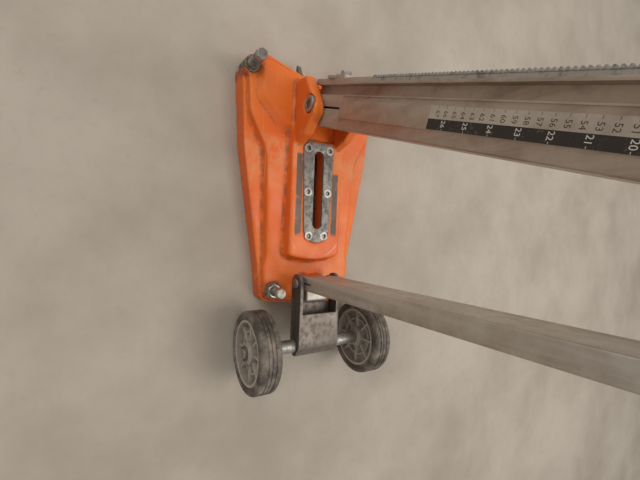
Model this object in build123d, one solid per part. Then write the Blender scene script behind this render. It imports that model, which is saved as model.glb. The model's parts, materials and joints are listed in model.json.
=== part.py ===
"""Wheeled drill stand: cast base, tilting toothed column, stay, feed carriage and transport wheels.

Frame, in millimetres: +X towards the wheels, +Z up, Y across the base, z = 0 on the floor, and the
column's pivot straight above the origin. Column parts are drawn upright with the pivot at the
origin, and then leaned back by COLUMN_TILT.
"""

import os
from math import acos, atan2, cos, degrees, pi, radians, sin, tan

from build123d import *

# ---- Fits and shared clearances ----
RUN = 0.05                   # radial gap of a pin or shaft that turns in a bore
SIDE_GAP = 0.5               # gap between faces that swing past each other
SLIDE_GAP = 0.3              # gap between faces that slide along each other
BACKLASH = 0.2               # play between pinion and rack

# ---- Base casting: half outlines as (x, half width) ----
FLOOR_OUTLINE = ((-53, 0), (-90, 129), (60, 119.5), (250, 89), (308, 83), (317, 0))
FLOOR_RADII = (30, 28, 120, 60, 18, 0)
DECK_FOOT = ((-54, 0), (-89, 127), (10, 120), (68, 92), (232, 82.5), (252, 87), (304, 81), (313, 0))
DECK_TOP = ((-54, 0), (-88, 122), (9, 114), (66.5, 82.5), (230, 74), (250, 79), (298, 74), (307, 0))
DECK_RADII = (30, 24, 40, 30, 12, 12, 16, 0)
PLATEAU_FOOT = ((-50, 0), (-80, 112), (-10, 112), (36, 66), (40, 0))
PLATEAU_TOP = ((-46, 0), (-70, 98), (-16, 98), (22, 58), (24, 0))
PLATEAU_RADII = (20, 16, 20, 16, 0)
FLANGE_FRONT_Z, FLANGE_REAR_Z = 34.0, 24.0
DECK_FRONT_Z, DECK_REAR_Z = 48.0, 36.5
PLATEAU_Z = 55.0
CAST_WALL = 9.0
FLANGE_ROOF, DECK_ROOF = 21.0, 30.0
PAD_Z = 58.0
PAD_HALF_FRONT, PAD_HALF_REAR = 47.0, 47.5
PAD_START_X, PAD_REAR_X, PAD_BULGE = 24.0, 227.0, 8.6
PAD_FOOT_Z, PAD_SKIRT, PAD_CORNER_R = 40.0, 4.0, 5.0
CENTRE_RIB = 14.0

# ---- Column pivot and its ears ----
PIVOT_Z = 98.6
PIVOT_BOLT_R = 8.0
PIVOT_HEAD_R, PIVOT_HEAD_H = 12.0, 6.5
PIVOT_SINK, PIVOT_SOCKET = 6.0, 4.0
EAR_INNER, EAR_OUTER = 29.0, 46.0
EAR_FRONT_X, EAR_REAR_X = -48.0, 54.0
EAR_SIDE = ((-48, 40), (-46.5, 88), (-14, 107), (5, 117), (17, 116), (42, 86), (50, 62), (54, 40))
POCKET_FLOOR_Z = 50.0

# ---- Anchor slot and its steel plate ----
SLOT_FRONT_X, SLOT_REAR_X, SLOT_WIDTH = 58.0, 185.5, 18.0
PLATE_FRONT_X, PLATE_REAR_X = 44.5, 208.0
PLATE_HALF_FRONT, PLATE_HALF_REAR = 28.5, 24.0
PLATE_T, PLATE_PROUD = 5.0, 2.4
PLATE_SCREWS = ((55.0, 20.4), (125.5, 18.7), (197.0, 14.6))
PLATE_SCREW_R, PLATE_SCREW_HEAD_R, PLATE_SCREW_L = 4.0, 7.5, 20.0

# ---- Levelling screws: (x, half spacing, seat height, head top) ----
SCREW_FRONT = (-58.0, 115.0, 47.0, 86.0)
SCREW_REAR = (287.5, 64.8, 35.0, 71.0)
SCREW_R, SCREW_AF, SCREW_HEAD_H = 8.0, 15.0, 11.0
SCREW_BUSH_WALL, SCREW_BUSH_H = 4.0, 26.0
SCREW_BUSH_R = SCREW_R + SCREW_BUSH_WALL
SCREW_BOSS_WALL, SCREW_WELL_GAP = 3.0, 2.5
SCREW_TIP_Z = 0.5
LOCK_NUT_H, LOCK_NUT_AF, LOCK_WASHER_R, LOCK_WASHER_T = 9.0, 21.0, 13.0, 2.5

# ---- Centre pointer ----
POINTER_X, POINTER_Y, POINTER_Z = -66.0, -22.0, 24.0
POINTER_T, POINTER_L, POINTER_PIN_R = 6.0, 26.0, 3.0
POINTER_TILT = 20.0

# ---- Wheels, axle and bracket ----
WHEEL_R, WHEEL_W, WHEEL_INNER_Y = 62.5, 33.5, 83.8
RIM_R, AXLE_R, AXLE_X = 50.0, 7.5, 374.7
BRACKET_OUTER, BRACKET_T = 36.7, 5.0
BRACKET_FRONT_R, BRACKET_BOTTOM_Z, BRACKET_TOP_Z = 15.0, 51.0, 80.0
BRACKET_WEB_X, BRACKET_REAR_X = 322.0, 391.0
BRACKET_FLOOR_LAP, BRACKET_FLOOR_T = 12.0, 4.0
STAY_PIN_X, STAY_PIN_Z, STAY_PIN_R = 273.2, 65.2, 6.0
LUG_EYE_R, LUG_REAR_X, LUG_TOP_Z, LUG_GAP = 10.0, 303.0, 70.0, 3.0
LUG_PIN_X, LUG_PIN_Z, LUG_PIN_R, LUG_PIN_L, LUG_WALL_T = 302.0, 56.0, 3.0, 14.0, 12.0

# ---- Column profile ----
COLUMN_TILT = 17.04
COLUMN_LENGTH, COLUMN_FOOT = 1018.0, -18.0
FRONT_FACE, REAR_FACE = -38.0, 28.0
FLANGE_HALF, GROOVE_FRONT, GROOVE_REAR, GROOVE_FLOOR = 31.4, -30.0, -16.5, 19.0
RAIL_FRONT, RAIL_REAR, RAIL_HALF = -9.3, 13.9, 31.4
LIP_HALF, WEB_HALF, REAR_HALF = 30.0, 28.4, 29.8
FOOT_MILLED, FOOT_HALF = 64.0, 28.4
FOOT_SLIT_END, FOOT_SLIT_W = 59.0, 3.0
WALL = 3.5
T_MOUTH_HALF, T_HEAD_HALF, T_LIP, T_DEPTH = 4.5, 8.8, 3.5, 8.5

# ---- Rack, end stop and scale ----
MODULE, PINION_TEETH, PRESSURE_ANGLE = 1.5, 15, 20.0
RACK_START, RACK_END = 123.0, 985.0
RACK_WIDTH, RACK_SEAT, RACK_PITCH = 12.0, -33.0, -38.5
RACK_ADDENDUM, DEDENDUM = 1.3, 1.875
RACK_SCREW_R, RACK_SCREWS, RACK_SCREW_END_GAP = 2.5, 6, 40.0
SCALE_START, SCALE_END, SCALE_T = 229.0, 940.0, 0.4
STOP_LENGTH, STOP_START, STOP_HEIGHT = 22.0, 33.0, 6.0
STOP_Y, STOP_HALF, STOP_SCREW_R, STOP_HEAD_AF, STOP_HEAD_H = -19.0, 9.0, 3.0, 13.0, 5.0
STEP_START, STEP_HEIGHT, STEP_WIDTH = 16.0, 4.0, 12.0

# ---- Stay ----
STAY_LEAN = -1.0
STAY_DEPTH, STAY_WIDTH, STAY_WALL = 23.0, 52.0, 2.5
STAY_CORNER_R, STAY_FORK = 2.0, 16.5
STAY_SLIT_W, STAY_SLIT_L = 3.0, 27.0
STAY_BUSH_R = 10.0
STAY_TOP_OFFSET = 72.0
LUG_R, LUG_NECK = 12.5, 40.0
CLAMP_EAR_T, CLAMP_BASE_T, CLAMP_HALF_LENGTH = 8.0, 5.0, 26.0
CLAMP_STUD_R = 6.0
KNOB_R, KNOB_L, KNOB_OFFSET = 22.0, 20.0, 60.0
CLAMP_BOLT_R = 4.0

# ---- Carriage ----
CARRIAGE_AT, CARRIAGE_HALF = 880.0, 80.0
SIDE_PLATE_T = 9.0
CARRIAGE_FRONT, CARRIAGE_REAR, YOKE_T = -78.0, 24.0, 12.0
ROLLER_X, ROLLER_R, ROLLER_W, ROLLER_SPACING = -23.25, 6.6, 9.0, 58.0
ROLLER_BOLT_R, ROLLER_HEAD_R = 4.0, 8.0
SHAFT_R, SHAFT_BUSH_WALL = 7.0, 3.0
HUB_R, HUB_L = 19.0, 24.0
SPOKE_R, SPOKE_L, CRANK_KNOB_R, CRANK_KNOB_L = 5.0, 120.0, 13.0, 42.0
SPOKES = 3
MOTOR_PLATE_W, MOTOR_PLATE_L, MOTOR_PLATE_T = 92.0, 130.0, 14.0
MOTOR_PCD, MOTOR_HOLE_R = 76.0, 4.25
LOCK_X, LOCK_S, LOCK_R, LOCK_ARM_L = 8.0, 50.0, 5.0, 55.0

# ---- Top ----
CAP_T = 9.0
GRIP_R, GRIP_RISE = 9.0, 44.0


def column_frame(s, across=0.0, y=0.0):
    """World point of a place on the column: s along it from the pivot, across towards the rear."""
    tilt = radians(COLUMN_TILT)
    return Vector(s * sin(tilt) + across * cos(tilt), y, PIVOT_Z + s * cos(tilt) - across * sin(tilt))


def lean(shape):
    """Turns a part that is drawn upright about the pivot into its place on the leaning column."""
    return Pos(0, 0, PIVOT_Z) * Rot(0, COLUMN_TILT, 0) * shape


def box(x0, x1, y0, y1, z0, z1):
    """Box between two corners."""
    return Pos((x0 + x1) / 2, (y0 + y1) / 2, (z0 + z1) / 2) * Box(x1 - x0, y1 - y0, z1 - z0)


def rod_y(x, z, y0, y1, radius):
    """Cylinder along Y."""
    return Pos(x, (y0 + y1) / 2, z) * Rot(90, 0, 0) * Cylinder(radius, y1 - y0)


def rod_z(x, y, z0, z1, radius):
    """Cylinder along Z."""
    return Pos(x, y, (z0 + z1) / 2) * Cylinder(radius, z1 - z0)


def rod_x(x0, x1, y, z, radius):
    """Cylinder along X."""
    return Pos((x0 + x1) / 2, y, z) * Rot(0, 90, 0) * Cylinder(radius, x1 - x0)


def hexagon_z(x, y, z0, z1, across_flats):
    """Hexagonal prism along Z."""
    profile = RegularPolygon(across_flats / 2, 6, major_radius=False)
    return Pos(x, y, z0) * extrude(profile, z1 - z0)


def both_sides(shape):
    """A shape and its mirror image across the plane of symmetry."""
    return [shape, mirror(shape, about=Plane.XZ)]


def outline(half, radii, height=0.0, inset=0.0):
    """Closed face on both sides of the X axis, from a half outline and its corner radii."""
    far = [(x, y) for x, y in half if y > 0]
    near = [(x, -y) for x, y in reversed(far)]
    far_radii = [r for (x, y), r in zip(half, radii) if y > 0]
    points = [half[0]] + near[::-1] + [half[-1]] + far[::-1]
    corner = [radii[0]] + far_radii + [radii[-1]] + far_radii[::-1]
    face = make_face(FilletPolyline(*points, radius=corner, close=True))
    if inset:
        face = offset(face, amount=-inset, kind=Kind.INTERSECTION)
    return Pos(0, 0, height) * (face.faces()[0] if inset else face)


def above_slope(front_z, rear_z):
    """Everything above a top face that falls from the front of the casting to its rear."""
    x0, x1 = -60.0, 290.0
    fall = (rear_z - front_z) / (x1 - x0)
    top = 200.0
    reach = 260.0
    corners = [(-200, front_z + fall * (-200 - x0)), (450, front_z + fall * (450 - x0)), (450, top), (-200, top)]
    side = make_face(Polyline(*[(x, 0, z) for x, z in corners], close=True))
    return extrude(side, amount=reach, both=True, dir=(0, 1, 0))


def slot_prism(x0, x1, width, z0, z1):
    """Prism of a slot with round ends, measured end to end."""
    length = x1 - x0
    return Pos((x0 + x1) / 2, 0, z0) * extrude(SlotOverall(length, width), z1 - z0)


def plate_outline(grow=0.0):
    """Face of the slot plate: square front corners, tapering sides and a round rear end."""
    rear_centre = PLATE_REAR_X - PLATE_HALF_REAR
    front = PLATE_FRONT_X - grow
    half_front, half_rear = PLATE_HALF_FRONT + grow, PLATE_HALF_REAR + grow
    body = Polyline((rear_centre, half_rear), (front + 8, half_front), (front, half_front - 8),
                    (front, -half_front + 8), (front + 8, -half_front), (rear_centre, -half_rear))
    nose = ThreePointArc((rear_centre, -half_rear), (PLATE_REAR_X + grow, 0), (rear_centre, half_rear))
    return make_face(body + nose)


def screw_places():
    """Name, x, y, seat height and head height of each levelling screw."""
    for end, (x, half, seat, top) in (("front", SCREW_FRONT), ("rear", SCREW_REAR)):
        for side, sign in (("near", -1), ("far", 1)):
            yield end + "_" + side, x, sign * half, seat, top


def pad():
    """Raised pad round the anchor slot, with a shallow arc for its rear end."""
    height = PAD_Z - PAD_FOOT_Z
    taper = degrees(atan2(PAD_SKIRT, height))
    half_front, half_rear = PAD_HALF_FRONT + PAD_SKIRT, PAD_HALF_REAR + PAD_SKIRT
    rear = PAD_REAR_X + PAD_SKIRT
    flank = Polyline((rear, half_rear), (PAD_START_X, half_front), (PAD_START_X, -half_front), (rear, -half_rear))
    end = ThreePointArc((rear, -half_rear), (rear + PAD_BULGE, 0), (rear, half_rear))
    plan = make_face(flank + end)
    plan = fillet(plan.vertices().sort_by(Axis.X)[-2:], PAD_CORNER_R + PAD_SKIRT)
    return Pos(0, 0, PAD_FOOT_Z) * extrude(plan, height, taper=taper)


def ear(side):
    """One ear of the column's pivot, thick and with its outer top edge cut back."""
    profile = make_face(FilletPolyline(*[(x, 0, z) for x, z in EAR_SIDE],
                                       radius=[0, 8, 20, 12, 12, 20, 8, 0], close=True))
    solid = extrude(profile, amount=EAR_OUTER - EAR_INNER, dir=(0, 1, 0))
    solid = Pos(0, EAR_INNER, 0) * solid
    outer = solid.faces().sort_by(Axis.Y)[-1]
    solid = chamfer(outer.edges().filter_by_position(Axis.Z, 60, 200), 3.0)
    return solid if side > 0 else mirror(solid, about=Plane.XZ)


def lug_half():
    """Half width of the casting's lug, inside the stay's forked foot."""
    return STAY_WIDTH / 2 - STAY_WALL - LUG_GAP


def bracket_inner():
    """Half gap between the wheel bracket's side plates."""
    return BRACKET_OUTER - BRACKET_T


def stay_lug():
    """Lug of the casting that holds the stay pin, with a wall across it that the bracket is pinned to."""
    half, low = lug_half(), 28.0
    outer = bracket_inner() - SIDE_GAP
    lug = rod_y(STAY_PIN_X, STAY_PIN_Z, -half, half, LUG_EYE_R)
    lug += box(STAY_PIN_X - LUG_EYE_R, LUG_REAR_X, -half, half, low, STAY_PIN_Z)
    lug += box(STAY_PIN_X, LUG_REAR_X, -half, half, STAY_PIN_Z - 1, LUG_TOP_Z)
    wall = LUG_WALL_T / 2
    return lug + box(LUG_PIN_X - wall, LUG_PIN_X + wall, -outer, outer, low, LUG_PIN_Z + wall)


def base_casting():
    """Hollow cast base with its flange, deck, plateau, pad, ears and rear lugs."""
    flange = extrude(outline(FLOOR_OUTLINE, FLOOR_RADII), FLANGE_FRONT_Z, taper=3)
    flange -= above_slope(FLANGE_FRONT_Z, FLANGE_REAR_Z)
    deck = loft([outline(DECK_FOOT, DECK_RADII, 18), outline(DECK_TOP, DECK_RADII, DECK_FRONT_Z)])
    deck -= above_slope(DECK_FRONT_Z, DECK_REAR_Z)
    plateau = loft([outline(PLATEAU_FOOT, PLATEAU_RADII, 42), outline(PLATEAU_TOP, PLATEAU_RADII, PLATEAU_Z)])
    body = flange + deck + plateau + pad()
    hollow = Pos(0, 0, -1) * extrude(outline(FLOOR_OUTLINE, FLOOR_RADII, 0, CAST_WALL), FLANGE_ROOF + 1)
    hollow += Pos(0, 0, -1) * extrude(outline(DECK_TOP, DECK_RADII, 0, CAST_WALL), DECK_ROOF + 1)
    posts = rod_z(0, 0, 0, DECK_ROOF, CENTRE_RIB)
    posts += box(-CENTRE_RIB / 2, CENTRE_RIB / 2, -112, 112, 0, DECK_ROOF)
    for _, x, y, seat, _ in screw_places():
        posts += rod_z(x, y, 0, seat, SCREW_BUSH_R + SCREW_BOSS_WALL)
    inside = extrude(outline(FLOOR_OUTLINE, FLOOR_RADII), 60)
    hollow -= posts
    body -= hollow
    for _, x, y, seat, _ in screw_places():
        body += rod_z(x, y, 0, seat, SCREW_BUSH_R + SCREW_BOSS_WALL) & inside
        body -= rod_z(x, y, seat, seat + 60, SCREW_BUSH_R + SCREW_WELL_GAP)
        body -= rod_z(x, y, -1, seat + 1, SCREW_BUSH_R - 1)
        body -= rod_z(x, y, seat - SCREW_BUSH_H, seat + 1, SCREW_BUSH_R)
    body += ear(1) + ear(-1) + stay_lug()
    body -= box(EAR_FRONT_X + 4, EAR_REAR_X - 12, -EAR_INNER, EAR_INNER, POCKET_FLOOR_Z, 160)
    body -= rod_y(0, PIVOT_Z, -60, 60, PIVOT_BOLT_R)
    for sign in (-1, 1):
        y0, y1 = sorted((sign * (EAR_OUTER - PIVOT_SINK), sign * 60))
        body -= rod_y(0, PIVOT_Z, y0, y1, PIVOT_HEAD_R + 1.5)
    body -= Pos(0, 0, PAD_Z + PLATE_PROUD - PLATE_T) * extrude(plate_outline(0.3), 20)
    body -= slot_prism(SLOT_FRONT_X - 3, SLOT_REAR_X + 3, SLOT_WIDTH + 6, -1, 80)
    for x, half in PLATE_SCREWS:
        for y in (-half, half):
            body -= rod_z(x, y, PAD_Z + PLATE_PROUD - PLATE_SCREW_L, 80, PLATE_SCREW_R + 0.02)
    body -= rod_y(STAY_PIN_X, STAY_PIN_Z, -60, 60, STAY_PIN_R)
    for pin in bracket_pins():
        body -= pin
    body -= box(POINTER_X - 30, POINTER_X + 9, POINTER_Y - 6, POINTER_Y + 6, POINTER_Z - 9, POINTER_Z + 9)
    body -= rod_y(POINTER_X, POINTER_Z, POINTER_Y - 16, POINTER_Y + 16, POINTER_PIN_R)
    return body


def slot_plate():
    """Hard steel plate that the anchor's nut bears on."""
    low = PAD_Z + PLATE_PROUD - PLATE_T
    plate = Pos(0, 0, low) * extrude(plate_outline(), PLATE_T)
    plate = chamfer(plate.faces().sort_by(Axis.Z)[-1].edges(), 0.6)
    plate -= slot_prism(SLOT_FRONT_X, SLOT_REAR_X, SLOT_WIDTH, 0, 90)
    for x, half in PLATE_SCREWS:
        for y in (-half, half):
            plate -= plate_screw(x, y, 0.02)
    return plate


def plate_screw(x, y, grow=0.0):
    """Countersunk screw, flush with the plate."""
    top = PAD_Z + PLATE_PROUD
    head_h = PLATE_SCREW_HEAD_R - PLATE_SCREW_R
    head = Pos(x, y, top - head_h / 2) * Cone(PLATE_SCREW_R + grow, PLATE_SCREW_HEAD_R + grow, head_h)
    return head + rod_z(x, y, top - PLATE_SCREW_L, top - head_h, PLATE_SCREW_R + grow)


def plate_screws():
    """The six screws of the slot plate, each with a hexagon socket."""
    top = PAD_Z + PLATE_PROUD
    screws = []
    for x, half in PLATE_SCREWS:
        for y in (-half, half):
            screws.append(plate_screw(x, y) - hexagon_z(x, y, top - 2.5, top + 1, 5.0))
    return Compound(children=screws)


def levelling_screw(x, y, seat, top):
    """Levelling screw with a hexagon head and a plain dog point."""
    head = hexagon_z(x, y, top - SCREW_HEAD_H, top, SCREW_AF)
    crown = Pos(x, y, top - SCREW_HEAD_H) * Cone(SCREW_AF * 0.62 + SCREW_HEAD_H, SCREW_AF * 0.5, SCREW_HEAD_H,
                                                  align=(Align.CENTER, Align.CENTER, Align.MIN))
    shank = rod_z(x, y, SCREW_TIP_Z + 6, top - SCREW_HEAD_H, SCREW_R)
    tip = rod_z(x, y, SCREW_TIP_Z, SCREW_TIP_Z + 6, SCREW_R - 2.5)
    return (head & crown) + shank + tip


def screw_bushes():
    """Threaded steel bushes of the levelling screws, pressed into the casting's bosses."""
    rings = []
    for _, x, y, seat, _ in screw_places():
        ring = rod_z(x, y, seat - SCREW_BUSH_H, seat, SCREW_BUSH_R) - rod_z(x, y, 0, seat + 1, SCREW_R + RUN)
        rings.append(ring)
    return Compound(children=rings)


def rear_lock_nuts():
    """Lock nuts on the two rear levelling screws."""
    x, half, seat, _ = SCREW_REAR
    low = seat + LOCK_WASHER_T
    nuts = []
    for y in (-half, half):
        nuts.append(hexagon_z(x, y, low, low + LOCK_NUT_H, LOCK_NUT_AF) - rod_z(x, y, 0, 90, SCREW_R + RUN))
    return Compound(children=nuts)


def rear_lock_washers():
    """Washers under the rear lock nuts."""
    x, half, seat, _ = SCREW_REAR
    rings = []
    for y in (-half, half):
        ring = rod_z(x, y, seat, seat + LOCK_WASHER_T, LOCK_WASHER_R) - rod_z(x, y, 0, 90, SCREW_R + RUN)
        rings.append(ring)
    return Compound(children=rings)


def pivot_bolt():
    """Bolt that the column tilts on: cap head in the near ear, its end in the far ear's nut."""
    y_head = -EAR_OUTER + PIVOT_SINK
    y_end = EAR_OUTER - PIVOT_SINK + 10
    bolt = rod_y(0, PIVOT_Z, y_head, y_end, PIVOT_BOLT_R)
    head = rod_y(0, PIVOT_Z, y_head - PIVOT_HEAD_H, y_head, PIVOT_HEAD_R)
    socket = Pos(0, y_head - PIVOT_HEAD_H + PIVOT_SOCKET, PIVOT_Z) * Rot(90, 0, 0) * extrude(
        RegularPolygon(6, 6, major_radius=False), 10)
    return bolt + head - socket


def pivot_nut():
    """Nut of the pivot bolt, in the far ear's counterbore."""
    low = EAR_OUTER - PIVOT_SINK
    nut = Pos(0, low, PIVOT_Z) * Rot(-90, 0, 0) * extrude(RegularPolygon(11, 6, major_radius=False), 9)
    return nut - rod_y(0, PIVOT_Z, 0, 90, PIVOT_BOLT_R)


def wheel_bracket():
    """Steel channel from the casting's rear lugs to the wheel axle, open below."""
    rear_z = (BRACKET_BOTTOM_Z + BRACKET_TOP_Z) / 2
    front = STAY_PIN_X
    side = ((front, BRACKET_BOTTOM_Z - 1), (BRACKET_REAR_X - 18, BRACKET_BOTTOM_Z - 1), (BRACKET_REAR_X, rear_z - 6),
            (BRACKET_REAR_X, rear_z + 2), (BRACKET_REAR_X - 16, BRACKET_TOP_Z), (front, BRACKET_TOP_Z))
    profile = make_face(FilletPolyline(*[(x, 0, z) for x, z in side], radius=[0, 6, 4, 4, 10, 0], close=True))
    channel = extrude(profile, amount=BRACKET_OUTER, both=True, dir=(0, 1, 0))
    channel += rod_y(front, STAY_PIN_Z, -BRACKET_OUTER, BRACKET_OUTER, BRACKET_FRONT_R)
    inner = bracket_inner()
    channel -= box(front - 40, BRACKET_WEB_X, -inner, inner, 0, 120)
    inner_side = ((BRACKET_WEB_X - 1, 0), (BRACKET_REAR_X + 9, 0), (BRACKET_REAR_X - 3.5, rear_z - 9),
                  (BRACKET_REAR_X - 3.5, rear_z), (BRACKET_REAR_X - 18, BRACKET_TOP_Z - BRACKET_T),
                  (BRACKET_WEB_X - 1, BRACKET_TOP_Z - BRACKET_T))
    cavity = make_face(Polyline(*[(x, 0, z) for x, z in inner_side], close=True))
    channel -= extrude(cavity, amount=inner, both=True, dir=(0, 1, 0))
    floor = LUG_PIN_X + LUG_WALL_T / 2 + SLIDE_GAP
    channel += box(floor, BRACKET_WEB_X + BRACKET_FLOOR_LAP, -inner, inner, BRACKET_BOTTOM_Z - 1,
                   BRACKET_BOTTOM_Z - 1 + BRACKET_FLOOR_T)
    channel -= rod_y(front, STAY_PIN_Z, -60, 60, STAY_PIN_R)
    channel -= rod_y(AXLE_X, WHEEL_R, -60, 60, AXLE_R)
    for pin in bracket_pins():
        channel -= pin
    return channel


def bracket_pins():
    """Two flush pins that stop the bracket turning on the stay pin."""
    pins = []
    for sign in (-1, 1):
        y0, y1 = sorted((sign * (BRACKET_OUTER - LUG_PIN_L), sign * BRACKET_OUTER))
        pins.append(rod_y(LUG_PIN_X, LUG_PIN_Z, y0, y1, LUG_PIN_R))
    return pins


def stay_pin():
    """Pin through the bracket's ears, the casting's lugs and the stay's foot, with domed heads."""
    pin = rod_y(STAY_PIN_X, STAY_PIN_Z, -BRACKET_OUTER - 3, BRACKET_OUTER + 3, STAY_PIN_R)
    for sign in (-1, 1):
        y0, y1 = sorted((sign * BRACKET_OUTER, sign * (BRACKET_OUTER + 3)))
        pin += rod_y(STAY_PIN_X, STAY_PIN_Z, y0, y1, STAY_PIN_R + 1.5)
    return pin


def wheel_axle():
    """Axle through the bracket, with a spacer tube each side up to the wheel."""
    end = WHEEL_INNER_Y + WHEEL_W + 5
    axle = rod_y(AXLE_X, WHEEL_R, -end, end, AXLE_R)
    return axle


def axle_spacers():
    """Spacer tubes that keep the wheels off the bracket."""
    tubes = []
    for sign in (-1, 1):
        y0, y1 = sorted((sign * BRACKET_OUTER, sign * (WHEEL_INNER_Y - SIDE_GAP)))
        tubes.append(rod_y(AXLE_X, WHEEL_R, y0, y1, AXLE_R + 3) - rod_y(AXLE_X, WHEEL_R, y0 - 1, y1 + 1, AXLE_R))
    return Compound(children=tubes)


def axle_clips():
    """Retaining rings outside the wheels."""
    rings = []
    for sign in (-1, 1):
        start = WHEEL_INNER_Y + WHEEL_W + SIDE_GAP
        y0, y1 = sorted((sign * start, sign * (start + 2)))
        rings.append(rod_y(AXLE_X, WHEEL_R, y0, y1, AXLE_R + 4) - rod_y(AXLE_X, WHEEL_R, y0 - 1, y1 + 1, AXLE_R))
    return Compound(children=rings)


def wheel_rim(sign):
    """Plastic rim with a dished web, ribs and a hub."""
    y0, y1 = WHEEL_INNER_Y, WHEEL_INNER_Y + WHEEL_W
    middle = (y0 + y1) / 2
    hub_r, rim_t, web_t, ribs = 17.0, 5.0, 5.0, 8
    rim = rod_y(0, 0, y0 + 2, y1 - 2, RIM_R) - rod_y(0, 0, y0, y1, RIM_R - rim_t)
    rim += rod_y(0, 0, middle - web_t / 2, middle + web_t / 2, RIM_R - 1)
    rim += rod_y(0, 0, y0, y1, hub_r)
    for n in range(ribs):
        rib = Pos(0, middle, 0) * Rot(0, 360 * n / ribs, 0) * Pos((hub_r + RIM_R - 2) / 2 - 1, 0, 0) * Box(
            RIM_R - hub_r - 1, WHEEL_W - 11, 4)
        rim += rib
    rim -= rod_y(0, 0, y0 - 1, y1 + 1, AXLE_R + RUN)
    rim = Pos(AXLE_X, 0, WHEEL_R) * rim
    return rim if sign > 0 else mirror(rim, about=Plane.XZ)


def tyre(sign):
    """Rubber tyre with rounded shoulders and two grooves round its tread."""
    half = WHEEL_W / 2
    shoulder = 6.0
    section = make_face(FilletPolyline((RIM_R, -half), (WHEEL_R, -half), (WHEEL_R, half), (RIM_R, half),
                                       radius=[0, shoulder, shoulder, 0], close=True))
    for offset_x in (-6.0, 6.0):
        section -= Pos(WHEEL_R, offset_x) * Rectangle(2.4, 2.0)
    ring = revolve(section, Axis.Y)
    return Pos(AXLE_X, sign * (WHEEL_INNER_Y + half), WHEEL_R) * ring


def centre_pointer():
    """Blade that swings out of the casting's front edge to mark the drilling centre line."""
    half = POINTER_T / 2 - RUN
    blade = rod_y(0, 0, -half, half, 7)
    tip = make_face(Polyline((0, 0, -5), (-POINTER_L + 6, 0, -4), (-POINTER_L, 0, 0), (-POINTER_L + 6, 0, 4),
                             (0, 0, 5), close=True))
    blade += extrude(tip, amount=half, both=True, dir=(0, 1, 0))
    blade -= rod_y(0, 0, -10, 10, POINTER_PIN_R + RUN)
    return Pos(POINTER_X, POINTER_Y, POINTER_Z) * Rot(0, -POINTER_TILT, 0) * blade


def column_section():
    """Closed outer profile of the column, in the plane across it."""
    half = [(FRONT_FACE, 0), (FRONT_FACE, FLANGE_HALF), (GROOVE_FRONT, FLANGE_HALF), (GROOVE_FRONT, GROOVE_FLOOR),
            (GROOVE_REAR, GROOVE_FLOOR), (GROOVE_REAR, LIP_HALF), (GROOVE_REAR + 1.5, LIP_HALF),
            (GROOVE_REAR + 1.5, WEB_HALF), (RAIL_FRONT, WEB_HALF), (RAIL_FRONT, RAIL_HALF), (RAIL_REAR, RAIL_HALF),
            (RAIL_REAR, REAR_HALF), (REAR_FACE - 1.5, REAR_HALF), (REAR_FACE, REAR_HALF - 1.5), (REAR_FACE, 0)]
    points = half + [(x, -y) for x, y in reversed(half[1:-1])]
    return make_face(Polyline(*points, close=True))


def column_profile():
    """Extruded column with its T slot, chambers, rack seat, milled foot and slit."""
    length = COLUMN_LENGTH
    bar = extrude(column_section(), length)
    slot_bottom = REAR_FACE - T_DEPTH
    front_chamber = Pos((FRONT_FACE + 9 + slot_bottom - WALL) / 2, 0) * Rectangle(
        slot_bottom - WALL - FRONT_FACE - 9, 2 * (GROOVE_FLOOR - WALL))
    side = Pos((GROOVE_REAR + 5 + REAR_FACE - WALL) / 2, 0)
    chambers = front_chamber
    for sign in (-1, 1):
        chambers += side * Pos(0, sign * (GROOVE_FLOOR + 24.5) / 2) * Rectangle(REAR_FACE - WALL - GROOVE_REAR - 5,
                                                                               24.5 - GROOVE_FLOOR)
    bar -= extrude(chambers, length)
    bar -= box(REAR_FACE - T_LIP - 1, REAR_FACE + 1, -T_MOUTH_HALF, T_MOUTH_HALF, -1, length + 1)
    bar -= box(REAR_FACE - T_DEPTH, REAR_FACE - T_LIP, -T_HEAD_HALF, T_HEAD_HALF, -1, length + 1)
    bar = Pos(0, 0, COLUMN_FOOT) * bar
    for sign in (-1, 1):
        y0, y1 = sorted((sign * FOOT_HALF, sign * 50))
        bar -= box(FRONT_FACE - 1, REAR_FACE + 1, y0, y1, COLUMN_FOOT - 1, FOOT_MILLED)
    bar -= box(FRONT_FACE - 1, RACK_SEAT, -FLANGE_HALF - 1, RACK_WIDTH - FLANGE_HALF, RACK_START, length)
    slit = FOOT_SLIT_W / 2
    bar -= box(1 - slit, 1 + slit, -50, 50, COLUMN_FOOT - 1, FOOT_SLIT_END)
    bar -= rod_y(0, 0, -50, 50, PIVOT_BOLT_R + RUN)
    for s in rack_screw_places():
        bar -= rod_x(RACK_SEAT - 1, GROOVE_FRONT - SIDE_GAP, rack_centre_y(), s, RACK_SCREW_R)
    return lean(bar)


def foot_block():
    """Solid block in the column's foot that carries the pivot bolt."""
    half = GROOVE_FLOOR - WALL - 0.02
    x0, x1 = FRONT_FACE + 9.02, REAR_FACE - T_DEPTH - WALL - 0.02
    block = box(x0, x1, -half, half, COLUMN_FOOT + 1, 70)
    return lean(block - rod_y(0, 0, -50, 50, PIVOT_BOLT_R + RUN))


def rack_centre_y():
    """Middle of the rack's width."""
    return RACK_WIDTH / 2 - FLANGE_HALF


def rack_screw_places():
    """Distances of the rack's screws from the pivot."""
    gap = RACK_SCREW_END_GAP
    step = (RACK_END - RACK_START - 2 * gap) / (RACK_SCREWS - 1)
    return [RACK_START + gap + n * step for n in range(RACK_SCREWS)]


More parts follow.
